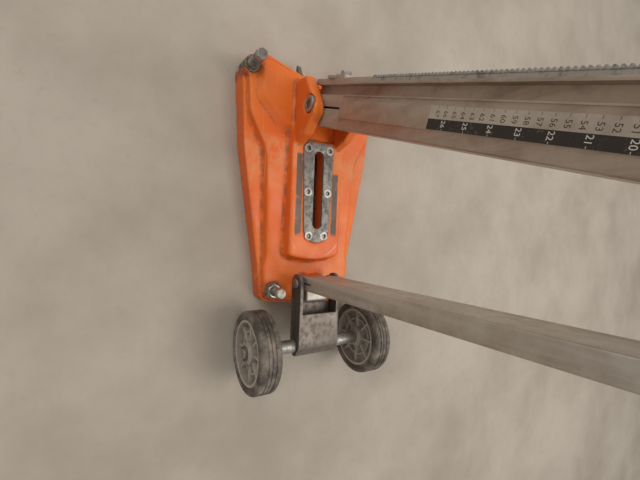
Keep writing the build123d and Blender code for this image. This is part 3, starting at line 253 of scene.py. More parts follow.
@dataclass(frozen=True)
class CastPaint:
    """Orange paint on a sand casting, dusted, chipped and worn along its edges, with painted shade on its
    upright sides and in its concave creases.
    """

    name: str = "cast_orange_paint"
    paint: Colour = tone(244, 122, 30)
    deep: Colour = tone(230, 102, 22)
    # darker red-brown that paints shade on the upright sides
    wall_shade: Colour = tone(204, 84, 26)
    dust: Colour = tone(226, 172, 132)
    # dark colour of chips, specks and screw-seat dirt, also used for painted shade in concave creases
    grime_and_shade: Colour = tone(74, 46, 34)
    metal: Colour = tone(168, 160, 150)
    rubbed: Colour = tone(98, 80, 66)

    def material(self, wear: "WearPlaces | None" = None) -> bpy.types.Material:
        """Builds the paint.

        Args:
            wear: where the base is rubbed, dusty and given painted glare, or None away from the base.

        Returns:
            The material.
        """
        web = Web(self.name)
        colour = web.blend(web.span(web.noise(9, 5), 0.35, 0.7), self.paint, self.deep)
        # painted shade: upright sides are darkened as if lit only from above
        side_shade = web.span(web.axis("Z", normal=True), 0.55, 0.1)
        colour = web.blend(web.sum("MULTIPLY", side_shade, 0.7), colour, self.wall_shade)
        upward = web.span(web.axis("Z", normal=True), 0.35, 0.95)
        patches = web.span(web.noise(13, 8, 0.62, 0.4), 0.54, 0.82)
        fine = web.span(web.noise(420, 3, 0.7), 0.35, 0.7)
        dusty = web.sum("MULTIPLY", web.sum("MULTIPLY", patches, upward), web.sum("MULTIPLY_ADD", fine, 0.6))
        if wear:
            # the base's zone adds dust and painted glare behind the crease
            dusty = web.sum("MAXIMUM", dusty, wear.dust_and_glare_zone(web, fine))
        # the pale dust colour also paints that glare
        colour = web.blend(web.sum("MULTIPLY", dusty, 0.5), colour, self.dust)
        # painted shade: concave creases darkened, broken up by noise
        hollow_shade = web.span(self.pointed(web), 0.497, 0.478)
        stain = web.span(web.noise(60, 6, 0.7), 0.35, 0.6)
        colour = web.blend(web.sum("MULTIPLY", web.sum("MULTIPLY", hollow_shade, stain), 0.55), colour, self.grime_and_shade)
        chips = web.span(web.cells(310), 0.16, 0.1)
        some = web.span(web.noise(28, 3), 0.54, 0.66)
        colour = web.blend(web.sum("MULTIPLY", chips, some), colour, self.grime_and_shade)
        specks = web.span(web.cells(760), 0.13, 0.07)
        colour = web.blend(web.sum("MULTIPLY", specks, 0.45), colour, self.grime_and_shade)
        scratch = self.scratches(web)
        colour = web.blend(web.sum("MULTIPLY", scratch, 0.3), colour, self.dust)
        edge = web.span(self.pointed(web), 0.515, 0.55)
        worn = web.sum("MULTIPLY", edge, web.span(web.noise(75, 6, 0.75), 0.5, 0.68))
        bare = worn
        if wear:
            colour = wear.stain(web, colour, self)
            colour = web.blend(wear.rubbed_zone(web), colour, self.rubbed)
            bare = web.sum("MAXIMUM", worn, web.sum("MAXIMUM", wear.arc_zone(web), wear.lug_zone(web)))
        colour = web.blend(bare, colour, self.metal)
        web.shade(base_color=colour, metallic=web.sum("MULTIPLY", bare, 0.7))
        uneven = web.span(web.noise(35, 5), 0.3, 0.7, 0.36, 0.56)
        web.shade(roughness=web.sum("ADD", uneven, web.sum("MULTIPLY", dusty, 0.3)))
        web.shader.inputs["Coat Weight"].default_value = 0.12
        web.shader.inputs["Coat Roughness"].default_value = 0.35
        web.bump(web.noise(520, 4, 0.6), 0.25, 0.0006)
        web.bump(web.noise(90, 3), 0.25, 0.0012)
        web.bump(web.sum("SUBTRACT", 1.0, web.sum("MAXIMUM", chips, scratch)), 0.2, 0.0003)
        return web.material

    @staticmethod
    def pointed(web: Web) -> bpy.types.NodeSocket:
        """Raw pointiness of the surface."""
        return web.tree.nodes.new("ShaderNodeNewGeometry").outputs["Pointiness"]

    @staticmethod
    def scratches(web: Web) -> bpy.types.NodeSocket:
        """Thin straight scratches in two directions."""
        lines = None
        for turn, shift in ((0.4, 0.0), (-1.0, 3.0)):
            where = web.place(scale=(9, 420, 60), turn=(0, 0, turn), shift=(shift, 0, 0))
            thin = web.span(web.noise(1.0, 2, 0.4, where=where), 0.7, 0.74)
            lines = thin if lines is None else web.sum("MAXIMUM", lines, thin)
        return lines


@dataclass(frozen=True)
class WearPlaces:
    """Where the base casting is rubbed bare, scuffed and dusty, and where glare is painted behind its crease,
    in metres.
    """

    slot_rear: float
    slot_front: float
    plate_half: float
    pad_height: float
    crease: float
    pin_x: float
    screws: tuple[tuple[float, float], ...]
    strip_half: float = 40 * MM
    arc_radius: float = 51 * MM
    lug_half: float = 20.5 * MM
    lug_low: float = 54 * MM

    def dust_and_glare_zone(self, web: Web, fine: bpy.types.NodeSocket) -> bpy.types.NodeSocket:
        """Dust, with painted glare, on the facet behind the plateau's crease and over the front of the deck.
        """
        along = web.axis("X")
        behind = web.sum("MULTIPLY", web.span(along, self.crease - 0.006, self.crease + 0.012),
                         web.span(along, self.crease + 0.1, self.crease + 0.03))
        upward = web.span(web.axis("Z", normal=True), 0.3, 0.9)
        mottled = web.span(web.noise(45, 7, 0.7), 0.36, 0.6)
        zone = web.sum("MULTIPLY", web.sum("MULTIPLY", behind, upward), mottled)
        return web.sum("MULTIPLY", zone, web.sum("MULTIPLY_ADD", fine, 0.7))

    def distance(self, web: Web, x: float, y: float) -> bpy.types.NodeSocket:
        """Distance on the plan from one upright axis."""
        across = web.sum("SUBTRACT", web.axis("X"), x)
        aside = web.sum("SUBTRACT", web.axis("Y"), y)
        square = web.sum("ADD", web.sum("MULTIPLY", across, across), web.sum("MULTIPLY", aside, aside))
        return web.sum("SQRT", square)

    def high(self, web: Web) -> bpy.types.NodeSocket:
        """Top face of the pad."""
        return web.span(web.axis("Z"), self.pad_height - 0.003, self.pad_height - 0.001)

    def rubbed_zone(self, web: Web) -> bpy.types.NodeSocket:
        """Dark rubbed strips along both sides of the slot plate; the far one starts further back."""
        along, mottled = web.axis("X"), web.span(web.noise(60, 7, 0.7, 0.5), 0.3, 0.46)
        zone = None
        for sign, start in ((-1, 0.065), (1, 0.092)):
            aside = web.sum("MULTIPLY", web.axis("Y"), sign)
            strip = web.sum("MULTIPLY", web.span(aside, self.plate_half - 0.001, self.plate_half + 0.001),
                            web.span(aside, self.strip_half + 0.001, self.strip_half - 0.001))
            length = web.sum("MULTIPLY", web.span(along, start - 0.003, start + 0.003),
                             web.span(along, self.slot_rear + 0.014, self.slot_rear + 0.006))
            strip = web.sum("MULTIPLY", strip, length)
            zone = strip if zone is None else web.sum("MAXIMUM", zone, strip)
        return web.sum("MULTIPLY", web.sum("MULTIPLY", zone, self.high(web)), mottled)

    def arc_zone(self, web: Web) -> bpy.types.NodeSocket:
        """One thin scuffed arc behind the slot."""
        reach = self.distance(web, self.slot_rear - 0.004, 0.0)
        ring = web.span(web.sum("ABSOLUTE", web.sum("SUBTRACT", reach, self.arc_radius)), 0.0011, 0.0004)
        broken = web.span(web.noise(24, 3), 0.42, 0.52)
        rear = web.span(web.axis("X"), self.slot_rear, self.slot_rear + 0.02)
        arc = web.sum("MULTIPLY", web.sum("MULTIPLY", ring, broken), rear)
        return web.sum("MULTIPLY", web.sum("MULTIPLY", arc, self.high(web)), 0.6)

    def lug_zone(self, web: Web) -> bpy.types.NodeSocket:
        """Bare upper part of the lug that holds the stay's pin."""
        inside = web.span(web.sum("ABSOLUTE", web.axis("Y")), self.lug_half + 0.002, self.lug_half + 0.001)
        behind = web.span(web.axis("X"), self.pin_x - 0.014, self.pin_x - 0.012)
        raised = web.span(web.axis("Z"), self.lug_low, self.lug_low + 0.006)
        return web.sum("MULTIPLY", web.sum("MULTIPLY", inside, behind), raised)

    def stain(self, web: Web, colour: bpy.types.NodeSocket, paint: CastPaint) -> bpy.types.NodeSocket:
        """Dark dirt round the levelling screws' seats."""
        ring = None
        for x, y in self.screws:
            near = web.span(self.distance(web, x, y), 0.024, 0.011)
            ring = near if ring is None else web.sum("MAXIMUM", ring, near)
        dirt = web.sum("MULTIPLY", ring, web.span(web.noise(120, 6, 0.7), 0.3, 0.62))
        return web.blend(web.sum("MULTIPLY", dirt, 0.85), colour, paint.grime_and_shade)


@dataclass(frozen=True)
class DrawnAluminium:
    """Drawn aluminium with lines along its length, handled and dusty."""

    name: str
    lean: float
    metal: Colour = tone(184, 170, 157)
    dull: Colour = tone(144, 129, 116)
    dust: Colour = tone(160, 141, 124)
    foot: float = 0.0

    def material(self) -> bpy.types.Material:
        """Builds the metal, its lines turned to the piece's own length."""
        web = Web(self.name)
        lines = web.noise(1.0, 3, 0.6, where=web.place(scale=(900, 900, 5), turn=(0, -self.lean, 0)))
        broad = web.noise(1.0, 4, 0.6, where=web.place(scale=(60, 60, 3.5), turn=(0, -self.lean, 0)))
        blotch = web.noise(26, 6, 0.65)
        mixed = web.sum("MULTIPLY", web.span(broad, 0.3, 0.7), web.span(blotch, 0.3, 0.65))
        colour = web.blend(mixed, self.metal, self.dull)
        dusty = web.span(web.noise(48, 8, 0.7), 0.48, 0.75)
        if self.foot:
            low = web.span(web.axis("Z"), self.foot + 0.22, self.foot)
            dusty = web.sum("MAXIMUM", dusty, web.sum("MULTIPLY", low, web.span(blotch, 0.25, 0.6)))
        colour = web.blend(web.sum("MULTIPLY", dusty, 0.6), colour, self.dust)
        nicks = web.span(web.cells(170), 0.09, 0.05)
        colour = web.blend(web.sum("MULTIPLY", nicks, 0.6), colour, self.dull)
        web.shade(base_color=colour, metallic=web.span(dusty, 0.0, 1.0, 0.72, 0.25))
        coarse = web.sum("ADD", web.sum("MULTIPLY", lines, 0.4), dusty)
        web.shade(roughness=web.span(coarse, 0.1, 1.1, 0.36, 0.62))
        web.bump(lines, 0.12, 0.0002)
        web.bump(web.sum("SUBTRACT", 1.0, nicks), 0.2, 0.0002)
        return web.material


@dataclass(frozen=True)
class SteelFinish:
    """Bare, plated or painted steel with scratches, dirt and worn edges."""

    name: str
    skin: Colour
    worn: Colour = tone(176, 172, 166)
    dirt: Colour = tone(70, 58, 50)
    metallic: float = 0.85
    rough: float = 0.36
    dirt_share: float = 0.35
    scuffed: float = 0.0
    rust: float = 0.0

    def material(self) -> bpy.types.Material:
        """Builds the steel."""
        web = Web(self.name)
        cloud = web.noise(55, 6, 0.65)
        colour = web.blend(web.span(cloud, 0.35, 0.7), self.skin, tuple(0.72 * c for c in self.skin))
        bare = web.edges(0.505, 0.54)
        if self.scuffed:
            upward = web.span(web.axis("Z", normal=True), 0.6, 0.95)
            strokes = web.noise(1.0, 5, 0.7, where=web.place(scale=(38, 190, 60), turn=(0, 0, 0.9)))
            rubbed = web.sum("MULTIPLY", upward, web.span(web.sum(
                "ADD", web.sum("MULTIPLY", strokes, 0.5), web.sum("MULTIPLY", cloud, 0.5)), 0.38, 0.52))
            bare = web.sum("MAXIMUM", bare, web.sum("MULTIPLY", rubbed, self.scuffed))
        colour = web.blend(bare, colour, self.worn)
        if self.rust:
            rusty = web.sum("MULTIPLY", web.span(web.noise(85, 7, 0.75, 0.4), 0.56, 0.68), self.rust)
            colour = web.blend(rusty, colour, tone(120, 72, 42))
        dirty = web.sum("MULTIPLY", web.span(web.noise(110, 7, 0.7), 0.45, 0.7), self.dirt_share)
        colour = web.blend(dirty, colour, self.dirt)
        scratch = CastPaint.scratches(web)
        colour = web.blend(web.sum("MULTIPLY", scratch, 0.35), colour, self.worn)
        web.shade(base_color=colour)
        web.shader.inputs["Metallic"].default_value = self.metallic
        web.shade(roughness=web.span(web.sum("ADD", cloud, dirty), 0.25, 0.95, self.rough, self.rough + 0.3))
        web.bump(web.noise(600, 3), 0.1, 0.0003)
        web.bump(web.sum("SUBTRACT", 1.0, scratch), 0.15, 0.0002)
        return web.material


@dataclass(frozen=True)
class Rubber:
    """Tyre rubber, greyed by dust in its grooves and scuffed on its shoulders."""

    name: str = "tyre_rubber"
    black: Colour = tone(66, 60, 54)
    dust: Colour = tone(164, 150, 134)

    def material(self) -> bpy.types.Material:
        """Builds the rubber."""
        web = Web(self.name)
        grain = web.noise(160, 8, 0.75)
        patches = web.noise(34, 6, 0.7)
        dusty = web.sum("ADD", web.span(patches, 0.38, 0.75, 0.0, 0.75), web.span(grain, 0.45, 0.8, 0.0, 0.3))
        colour = web.blend(dusty, self.black, self.dust)
        web.shade(base_color=colour, roughness=web.span(dusty, 0.0, 1.0, 0.62, 0.9))
        web.bump(grain, 0.3, 0.0006)
        web.bump(web.noise(700, 3), 0.2, 0.0003)
        return web.material


@dataclass(frozen=True)
class Moulded:
    """Moulded plastic with a fine grain, scuffs and dust."""

    name: str
    body: Colour
    dust: Colour = tone(150, 142, 132)
    rough: float = 0.5
    dusty: float = 0.5

    def material(self) -> bpy.types.Material:
        """Builds the plastic."""
        web = Web(self.name)
        cloud = web.noise(40, 6, 0.65)
        share = web.sum("MULTIPLY", web.span(cloud, 0.38, 0.72), self.dusty)
        colour = web.blend(share, self.body, self.dust)
        rub = web.sum("MULTIPLY", web.edges(0.51, 0.56), 0.6)
        colour = web.blend(rub, colour, self.dust)
        web.shade(base_color=colour, roughness=web.span(cloud, 0.3, 0.75, self.rough, self.rough + 0.25))
        web.bump(web.noise(900, 2), 0.12, 0.0002)
        return web.material


@dataclass(frozen=True)
class Ink:
    """Printed ink, slightly rubbed."""

    name: str
    colour: Colour
    under: Colour = tone(150, 142, 132)

    def material(self) -> bpy.types.Material:
        """Builds the ink."""
        web = Web(self.name)
        rubbed = web.sum("MULTIPLY", web.span(web.noise(260, 6, 0.75), 0.56, 0.75), 0.7)
        web.shade(base_color=web.blend(rubbed, self.colour, self.under),
                  roughness=web.span(web.noise(90, 4), 0.3, 0.7, 0.4, 0.65))
        return web.material


@dataclass(frozen=True)
class Concrete:
    """Pale smooth concrete of the studio floor."""

    name: str = "floor_concrete"
    pale: Colour = tone(188, 178, 164)
    grey: Colour = tone(164, 153, 139)

    def material(self) -> bpy.types.Material:
        """Builds the floor's finish."""
        web = Web(self.name)
        cloud = web.span(web.noise(3.5, 9, 0.6), 0.3, 0.72)
        spots = web.sum("MULTIPLY", web.span(web.noise(60, 6, 0.7), 0.52, 0.7), 0.35)
        colour = web.blend(cloud, self.pale, self.grey)
        web.shade(base_color=web.blend(spots, colour, self.grey))
        web.shader.inputs["Roughness"].default_value = 0.75
        web.bump(web.noise(240, 5), 0.08, 0.0005)
        return web.material


# ---------------------------------------------------------------- modelling by hand


def alone(piece: bpy.types.Object) -> bpy.types.Object:
    """Makes piece the only selected and the active object."""
    bpy.ops.object.select_all(action="DESELECT")
    piece.select_set(True)
    bpy.context.view_layer.objects.active = piece
    return piece


def settle(piece: bpy.types.Object, name: str) -> bpy.types.Object:
    """Names the piece, puts its place into its mesh and gives it a clean surface.

    Args:
        piece: the object.
        name: its name in the table.

    Returns:
        The same object, unturned at the origin.
    """
    alone(piece)
    bpy.ops.object.transform_apply(location=True, rotation=True, scale=True)
    piece.name = name
    piece.data.name = name
    return piece


def edit(piece: bpy.types.Object, mode: str = "FACE") -> None:
    """Enters edit mode with nothing selected."""
    alone(piece)
    bpy.ops.object.mode_set(mode="EDIT")
    bpy.ops.mesh.select_mode(type=mode)
    bpy.ops.mesh.select_all(action="DESELECT")


def leave() -> None:
    """Goes back to object mode."""
    bpy.ops.object.mode_set(mode="OBJECT")


def heal(piece: bpy.types.Object, gap: float = 1e-6) -> None:
    """Merges doubles and turns all faces outwards."""
    edit(piece, "VERT")
    bpy.ops.mesh.select_all(action="SELECT")
    bpy.ops.mesh.remove_doubles(threshold=gap)
    bpy.ops.mesh.normals_make_consistent(inside=False)
    leave()


def soften(piece: bpy.types.Object, width: float, segments: int = 2, angle: float = 40) -> None:
    """Rounds the piece's sharp edges with a bevel modifier and applies it."""
    alone(piece)
    cut = piece.modifiers.new("edge", "BEVEL")
    cut.width, cut.segments = width, segments
    cut.limit_method, cut.angle_limit = "ANGLE", math.radians(angle)
    cut.use_clamp_overlap = True
    bpy.ops.object.modifier_apply(modifier=cut.name)


def smooth(piece: bpy.types.Object, angle: float = 35) -> bpy.types.Object:
    """Shades smoothly, except across edges sharper than angle."""
    alone(piece)
    bpy.ops.object.shade_smooth_by_angle(angle=math.radians(angle))
    return piece


def combine(first: bpy.types.Object, second: bpy.types.Object, kind: str) -> bpy.types.Object:
    """Boolean of two pieces, kind being DIFFERENCE, UNION or INTERSECT; the second is used up."""
    alone(first)
    step = first.modifiers.new("join", "BOOLEAN")
    step.operation, step.object, step.solver = kind, second, "EXACT"
    bpy.ops.object.modifier_apply(modifier=step.name)
    bpy.data.objects.remove(second, do_unlink=True)
    return first


def merge(pieces: Sequence[bpy.types.Object]) -> bpy.types.Object:
    """Joins several meshes into one object."""
    bpy.ops.object.select_all(action="DESELECT")
    for piece in pieces:
        piece.select_set(True)
    bpy.context.view_layer.objects.active = pieces[0]
    if len(pieces) > 1:
        bpy.ops.object.join()
    return bpy.context.view_layer.objects.active


def lathe(profile: Iterable[tuple[float, float]], way: Way, centre: Point, steps: int = 48
          ) -> bpy.types.Object:
    """Turned piece: a profile of (radius, distance along the axis) points, spun once round.

    Args:
        profile: the outline from one end to the other; it starts and ends on the axis or closes on itself.
        way: the axis' direction.
        centre: the point that distances are measured from.
        steps: number of flats round the piece.

    Returns:
        The object, with merged seams.
    """
    points = list(profile)
    bpy.ops.object.select_all(action="DESELECT")
    bpy.ops.mesh.primitive_plane_add(size=0.001)
    piece = bpy.context.active_object
    bpy.ops.object.mode_set(mode="EDIT")
    bpy.ops.mesh.select_all(action="SELECT")
    bpy.ops.mesh.merge(type="CENTER")
    bpy.ops.mesh.select_mode(type="VERT")
    bpy.ops.mesh.select_all(action="SELECT")
    bpy.ops.transform.translate(value=(points[0][0], 0, points[0][1]))
    for (radius, along), (last_radius, last_along) in zip(points[1:], points):
        step = (radius - last_radius, 0, along - last_along)
        bpy.ops.mesh.extrude_region_move(TRANSFORM_OT_translate={"value": step})
    bpy.ops.mesh.select_all(action="SELECT")
    bpy.ops.mesh.spin(steps=steps, angle=2 * math.pi, center=(0, 0, 0), axis=(0, 0, 1))
    bpy.ops.mesh.select_all(action="SELECT")
    bpy.ops.mesh.remove_doubles(threshold=1e-6)
    bpy.ops.mesh.normals_make_consistent(inside=False)
    bpy.ops.object.mode_set(mode="OBJECT")
    turn = {Way.ALONG_X: (0, math.pi / 2, 0), Way.ALONG_Y: (-math.pi / 2, 0, 0), Way.ALONG_Z: (0, 0, 0)}[way]
    piece.rotation_euler = turn
    piece.location = centre
    return settle(piece, "turned")


def block(size: Point, centre: Point, edge: float, segments: int = 3) -> bpy.types.Object:
    """Rectangular block with rounded edges."""
    bpy.ops.object.select_all(action="DESELECT")
    bpy.ops.mesh.primitive_cube_add(size=1, location=centre)
    piece = bpy.context.active_object
    piece.scale = size
    bpy.ops.object.transform_apply(location=True, rotation=True, scale=True)
    if edge:
        soften(piece, edge, segments)
    return piece


def helix(radius: float, depth: float, pitch: float, low: float, high: float, x: float, y: float
          ) -> bpy.types.Object:
    """Thread ridge round an upright screw, from one height to another."""
    bpy.ops.object.select_all(action="DESELECT")
    bpy.ops.mesh.primitive_circle_add(vertices=3, radius=depth * 0.75, fill_type="NOTHING",
                                      location=(radius - depth * 0.75, 0, low),
                                      rotation=(math.pi / 2, math.pi / 2, 0))
    piece = bpy.context.active_object
    bpy.ops.object.transform_apply(location=True, rotation=True, scale=True)
    wind = piece.modifiers.new("thread", "SCREW")
    wind.axis, wind.steps, wind.render_steps = "Z", 20, 20
    wind.screw_offset = pitch
    wind.iterations = max(1, int((high - low) / pitch))
    wind.use_merge_vertices = False
    bpy.ops.object.modifier_apply(modifier=wind.name)
    edit(piece, "EDGE")
    bpy.ops.mesh.select_non_manifold()
    bpy.ops.mesh.fill_holes(sides=4)
    leave()
    heal(piece)
    piece.location = (x, y, 0)
    return settle(piece, "thread")


def hexagon(across: float, low: float, high: float, x: float, y: float, bore: float = 0.0,
            both_ends: bool = False) -> bpy.types.Object:
    """Upright hexagon head or nut with chamfered corners.

    Args:
        across: size across the flats.
        low, high: heights of its faces.
        x, y: its axis.
        bore: radius of its hole, or 0.
        both_ends: whether the lower corners are chamfered too.

    Returns:
        The object.
    """
    bpy.ops.object.select_all(action="DESELECT")
    bpy.ops.mesh.primitive_cylinder_add(vertices=6, radius=across / math.sqrt(3), depth=high - low,
                                        location=(x, y, (low + high) / 2), rotation=(0, 0, math.pi / 6))
    piece = bpy.context.active_object
    bpy.ops.object.transform_apply(location=True, rotation=True, scale=True)
    full, flat = across * 0.585, across * 0.47
    drop = (full - flat) * 0.6
    lower = [(0, low - 0.001), (full, low - 0.001)]
    if both_ends:
        lower = [(0, low), (flat, low), (full, low + drop)]
    crown = lathe([*lower, (full, high - drop), (flat, high), (0, high)], Way.ALONG_Z, (x, y, 0), 48)
    combine(piece, crown, "INTERSECT")
    if bore:
        combine(piece, lathe([(0, low - 0.01), (bore, low - 0.01), (bore, high + 0.01), (0, high + 0.01)],
                             Way.ALONG_Z, (x, y, 0), 32), "DIFFERENCE")
    soften(piece, 0.0004, 2, 25)
    return settle(piece, "hexagon")


def crisp_copy(node: str, edge: float, segments: int = 2, angle: float = 40) -> bpy.types.Object:
    """Copy of a CAD node with merged, softened edges, to stand for it.

    Args:
        node: the CAD node.
        edge: how wide its edges are rounded.
        segments: facets of the rounding.
        angle: edges sharper than this are rounded.

    Returns:
        The new object.
    """
    source = bpy.data.objects[node]
    piece = bpy.data.objects.new(node + "_shape", source.data.copy())
    bpy.context.scene.collection.objects.link(piece)
    piece.data.materials.clear()
    edit(piece, "VERT")
    bpy.ops.mesh.select_all(action="SELECT")
    bpy.ops.mesh.remove_doubles(threshold=2e-6)
    bpy.ops.mesh.customdata_custom_splitnormals_clear()
    bpy.ops.mesh.dissolve_limited(angle_limit=math.radians(0.7))
    leave()
    if edge:
        soften(piece, edge, segments, angle)
    return smooth(piece, 32)


# ---------------------------------------------------------------- placing pieces


@dataclass(frozen=True)
class Leaning:
    """The column's own frame: s along it from the pivot, across towards the rear."""

    pivot: Vector
    angle: float

    @property
    def matrix(self) -> Matrix:
        """From the upright drawing about the pivot to its place on the leaning column."""
        return Matrix.Translation(self.pivot) @ Matrix.Rotation(self.angle, 4, "Y")

    def box(self, node: str) -> tuple[Vector, Vector]:
        """Corners of a CAD node in the column's frame."""
        back = self.matrix.inverted()
        points = [back @ v.co for v in bpy.data.objects[node].data.vertices]
        low = Vector(min(p[i] for p in points) for i in range(3))
        high = Vector(max(p[i] for p in points) for i in range(3))
        return low, high


class Kit:
    """The frame's bodies and slots, and the one place where pieces join them."""

    def __init__(self, frame: dict) -> None:
        """Keeps the frame and reads which body and slot each node has."""
        self.frame = frame
        record = frame["record"]
        self.body_of = {node: body for body, nodes in record["behaviour"]["bodies"].items() for node in nodes}
        self.slot_of = {part["node"]: part["material_slot"] for part in record["subparts"]}
        joints = {joint["name"]: joint for joint in frame["joints"]}
        axis = joints["carriage_feed"]["axis"]
        self.column = Leaning(Vector(joints["column_tilt"]["pos_m"]), math.atan2(axis[0], axis[2]))
        self.joints = joints

    def dress(self, node: str, material: bpy.types.Material) -> None:
        """Gives a CAD node that stays a better material."""
        mesh = self.frame["nodes"][node].data
        mesh.materials.clear()
        mesh.materials.append(material)
        LOG.info("dressed %s", node)

    def fit(self, piece: bpy.types.Object, name: str, material: bpy.types.Material, *nodes: str,
            body: str | None = None) -> bpy.types.Object:
        """Settles a new piece, dresses it, makes it ride and stand for CAD nodes.

        Args:
            piece: the finished mesh.
            name: its name.
            material: its finish.
            nodes: CAD nodes that it replaces; the first also gives its body.
            body: the body it rides on, if it isn't the first node's.

        Returns:
            The piece.
        """
        settle(piece, name)
        piece.data.materials.clear()
        piece.data.materials.append(material)
        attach(piece, body or self.body_of[nodes[0]])
        if nodes:
            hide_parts(*nodes)
        LOG.info("%s: %d faces", name, len(piece.data.polygons))
        return piece


# ---------------------------------------------------------------- finishes in use


@dataclass(frozen=True)
class Finishes:
    """Every material of the object, made once."""

    paint: bpy.types.Material
    carriage_paint: bpy.types.Material
    column: bpy.types.Material
    stay: bpy.types.Material
    steel: bpy.types.Material
    plate: bpy.types.Material
    zinc: bpy.types.Material
    dark: bpy.types.Material
    bracket: bpy.types.Material
    rubber: bpy.types.Material
    rim: bpy.types.Material
    black: bpy.types.Material
    bronze: bpy.types.Material
    ink: bpy.types.Material
    white: bpy.types.Material

    @classmethod
    def make(cls, lean: float, wear: WearPlaces) -> "Finishes":
        """Builds the finishes.

        Args:
            lean: angle of the column from upright.
            wear: worn places of the base.

        Returns:
            The set.
        """
        return cls(
            paint=CastPaint().material(wear),
            carriage_paint=CastPaint("carriage_paint").material(),
            column=DrawnAluminium("column_aluminium", lean, foot=0.06).material(),
            stay=DrawnAluminium("stay_aluminium", math.radians(-1.0), tone(196, 188, 178),
                                tone(160, 148, 134), tone(150, 128, 106), foot=0.05).material(),
            steel=SteelFinish("worn_steel_skin", tone(128, 122, 114), dirt_share=0.6, rust=0.2).material(),
            plate=SteelFinish("slot_plate_steel", tone(118, 112, 104), tone(158, 154, 148), tone(84, 72, 60),
                              0.6, 0.42, 0.55, 0.5, 0.25).material(),
            zinc=SteelFinish("zinc_plating", tone(140, 134, 126), tone(178, 174, 168), tone(80, 68, 56),
                             0.85, 0.32, 0.4).material(),
            dark=SteelFinish("dark_thread_steel", tone(74, 64, 54), tone(132, 122, 110), tone(44, 34, 28),
                             0.6, 0.48, 0.6, rust=0.3).material(),
            bracket=SteelFinish("bracket_steel", tone(52, 47, 43), tone(134, 124, 115), tone(84, 56, 40),
                                0.5, 0.45, 0.4, 0.65, 0.15).material(),
            rubber=Rubber().material(),
            rim=Moulded("rim_plastic_grey", tone(150, 142, 133), tone(176, 164, 150), dusty=0.7).material(),
            black=Moulded("grip_plastic_black", tone(34, 33, 32), dusty=0.25).material(),
            bronze=SteelFinish("bronze_bush", tone(150, 112, 60), tone(190, 152, 92)).material(),
            ink=Ink("scale_ink", tone(40, 34, 30)).material(),
            white=Ink("scale_white", tone(206, 200, 190), tone(90, 82, 74)).material(),
        )


# ---------------------------------------------------------------- base


@dataclass
class CastBase:
    """Cast base with soft edges, its slot plate and the plate's screws."""

    kit: Kit
    skin: Finishes
    grain: float = 2.1 * MM
    softness: int = 7
    head_r: float = 7.4 * MM

    def casting(self) -> None:
        """Remeshes the casting finely and lets its edges flow as a sand casting's do."""
        low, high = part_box("base_casting")
        piece = crisp_copy("base_casting", 0)
        alone(piece)
        fine = piece.modifiers.new("grain", "REMESH")
        fine.mode, fine.voxel_size, fine.adaptivity = "VOXEL", self.grain, 0.0
        bpy.ops.object.modifier_apply(modifier=fine.name)
        flow = piece.modifiers.new("flow", "SMOOTH")
        flow.factor, flow.iterations = 0.5, self.softness
        bpy.ops.object.modifier_apply(modifier=flow.name)
        for vertex in piece.data.vertices:
            vertex.co = [min(max(c, a), b) for c, a, b in zip(vertex.co, low, high)]
        smooth(piece, 60)
        self.kit.fit(piece, "cast_base_shell", self.skin.paint, "base_casting")

    def plate(self) -> None:
        """Slot plate with a softened rim, and its screws with turned recesses."""
        piece = crisp_copy("slot_plate", 0.25 * MM)
        self.kit.fit(piece, "slot_plate_ground", self.skin.plate, "slot_plate")
        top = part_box("slot_plate")[1].z
        heads = []
        for x, half in ((0.055, 0.0204), (0.1255, 0.0187), (0.197, 0.0146)):
            for y in (-half, half):
                profile = [(0, top - 0.02), (4 * MM, top - 0.02), (4 * MM, top - 3.6 * MM),
                           (self.head_r, top - 0.3 * MM), (self.head_r - 0.4 * MM, top), (4.1 * MM, top),
                           (3.9 * MM, top - 0.35 * MM), (3.2 * MM, top - 0.35 * MM),
                           (2.9 * MM, top - 2.6 * MM),
                           (0, top - 2.6 * MM)]
                heads.append(lathe(profile, Way.ALONG_Z, (x, y, 0), 36))
        self.kit.fit(smooth(merge(heads)), "slot_plate_screw_set", self.skin.zinc, "slot_plate_screws")

    def build(self) -> None:
        """Makes the casting and the plate."""
        self.casting()
        self.plate()


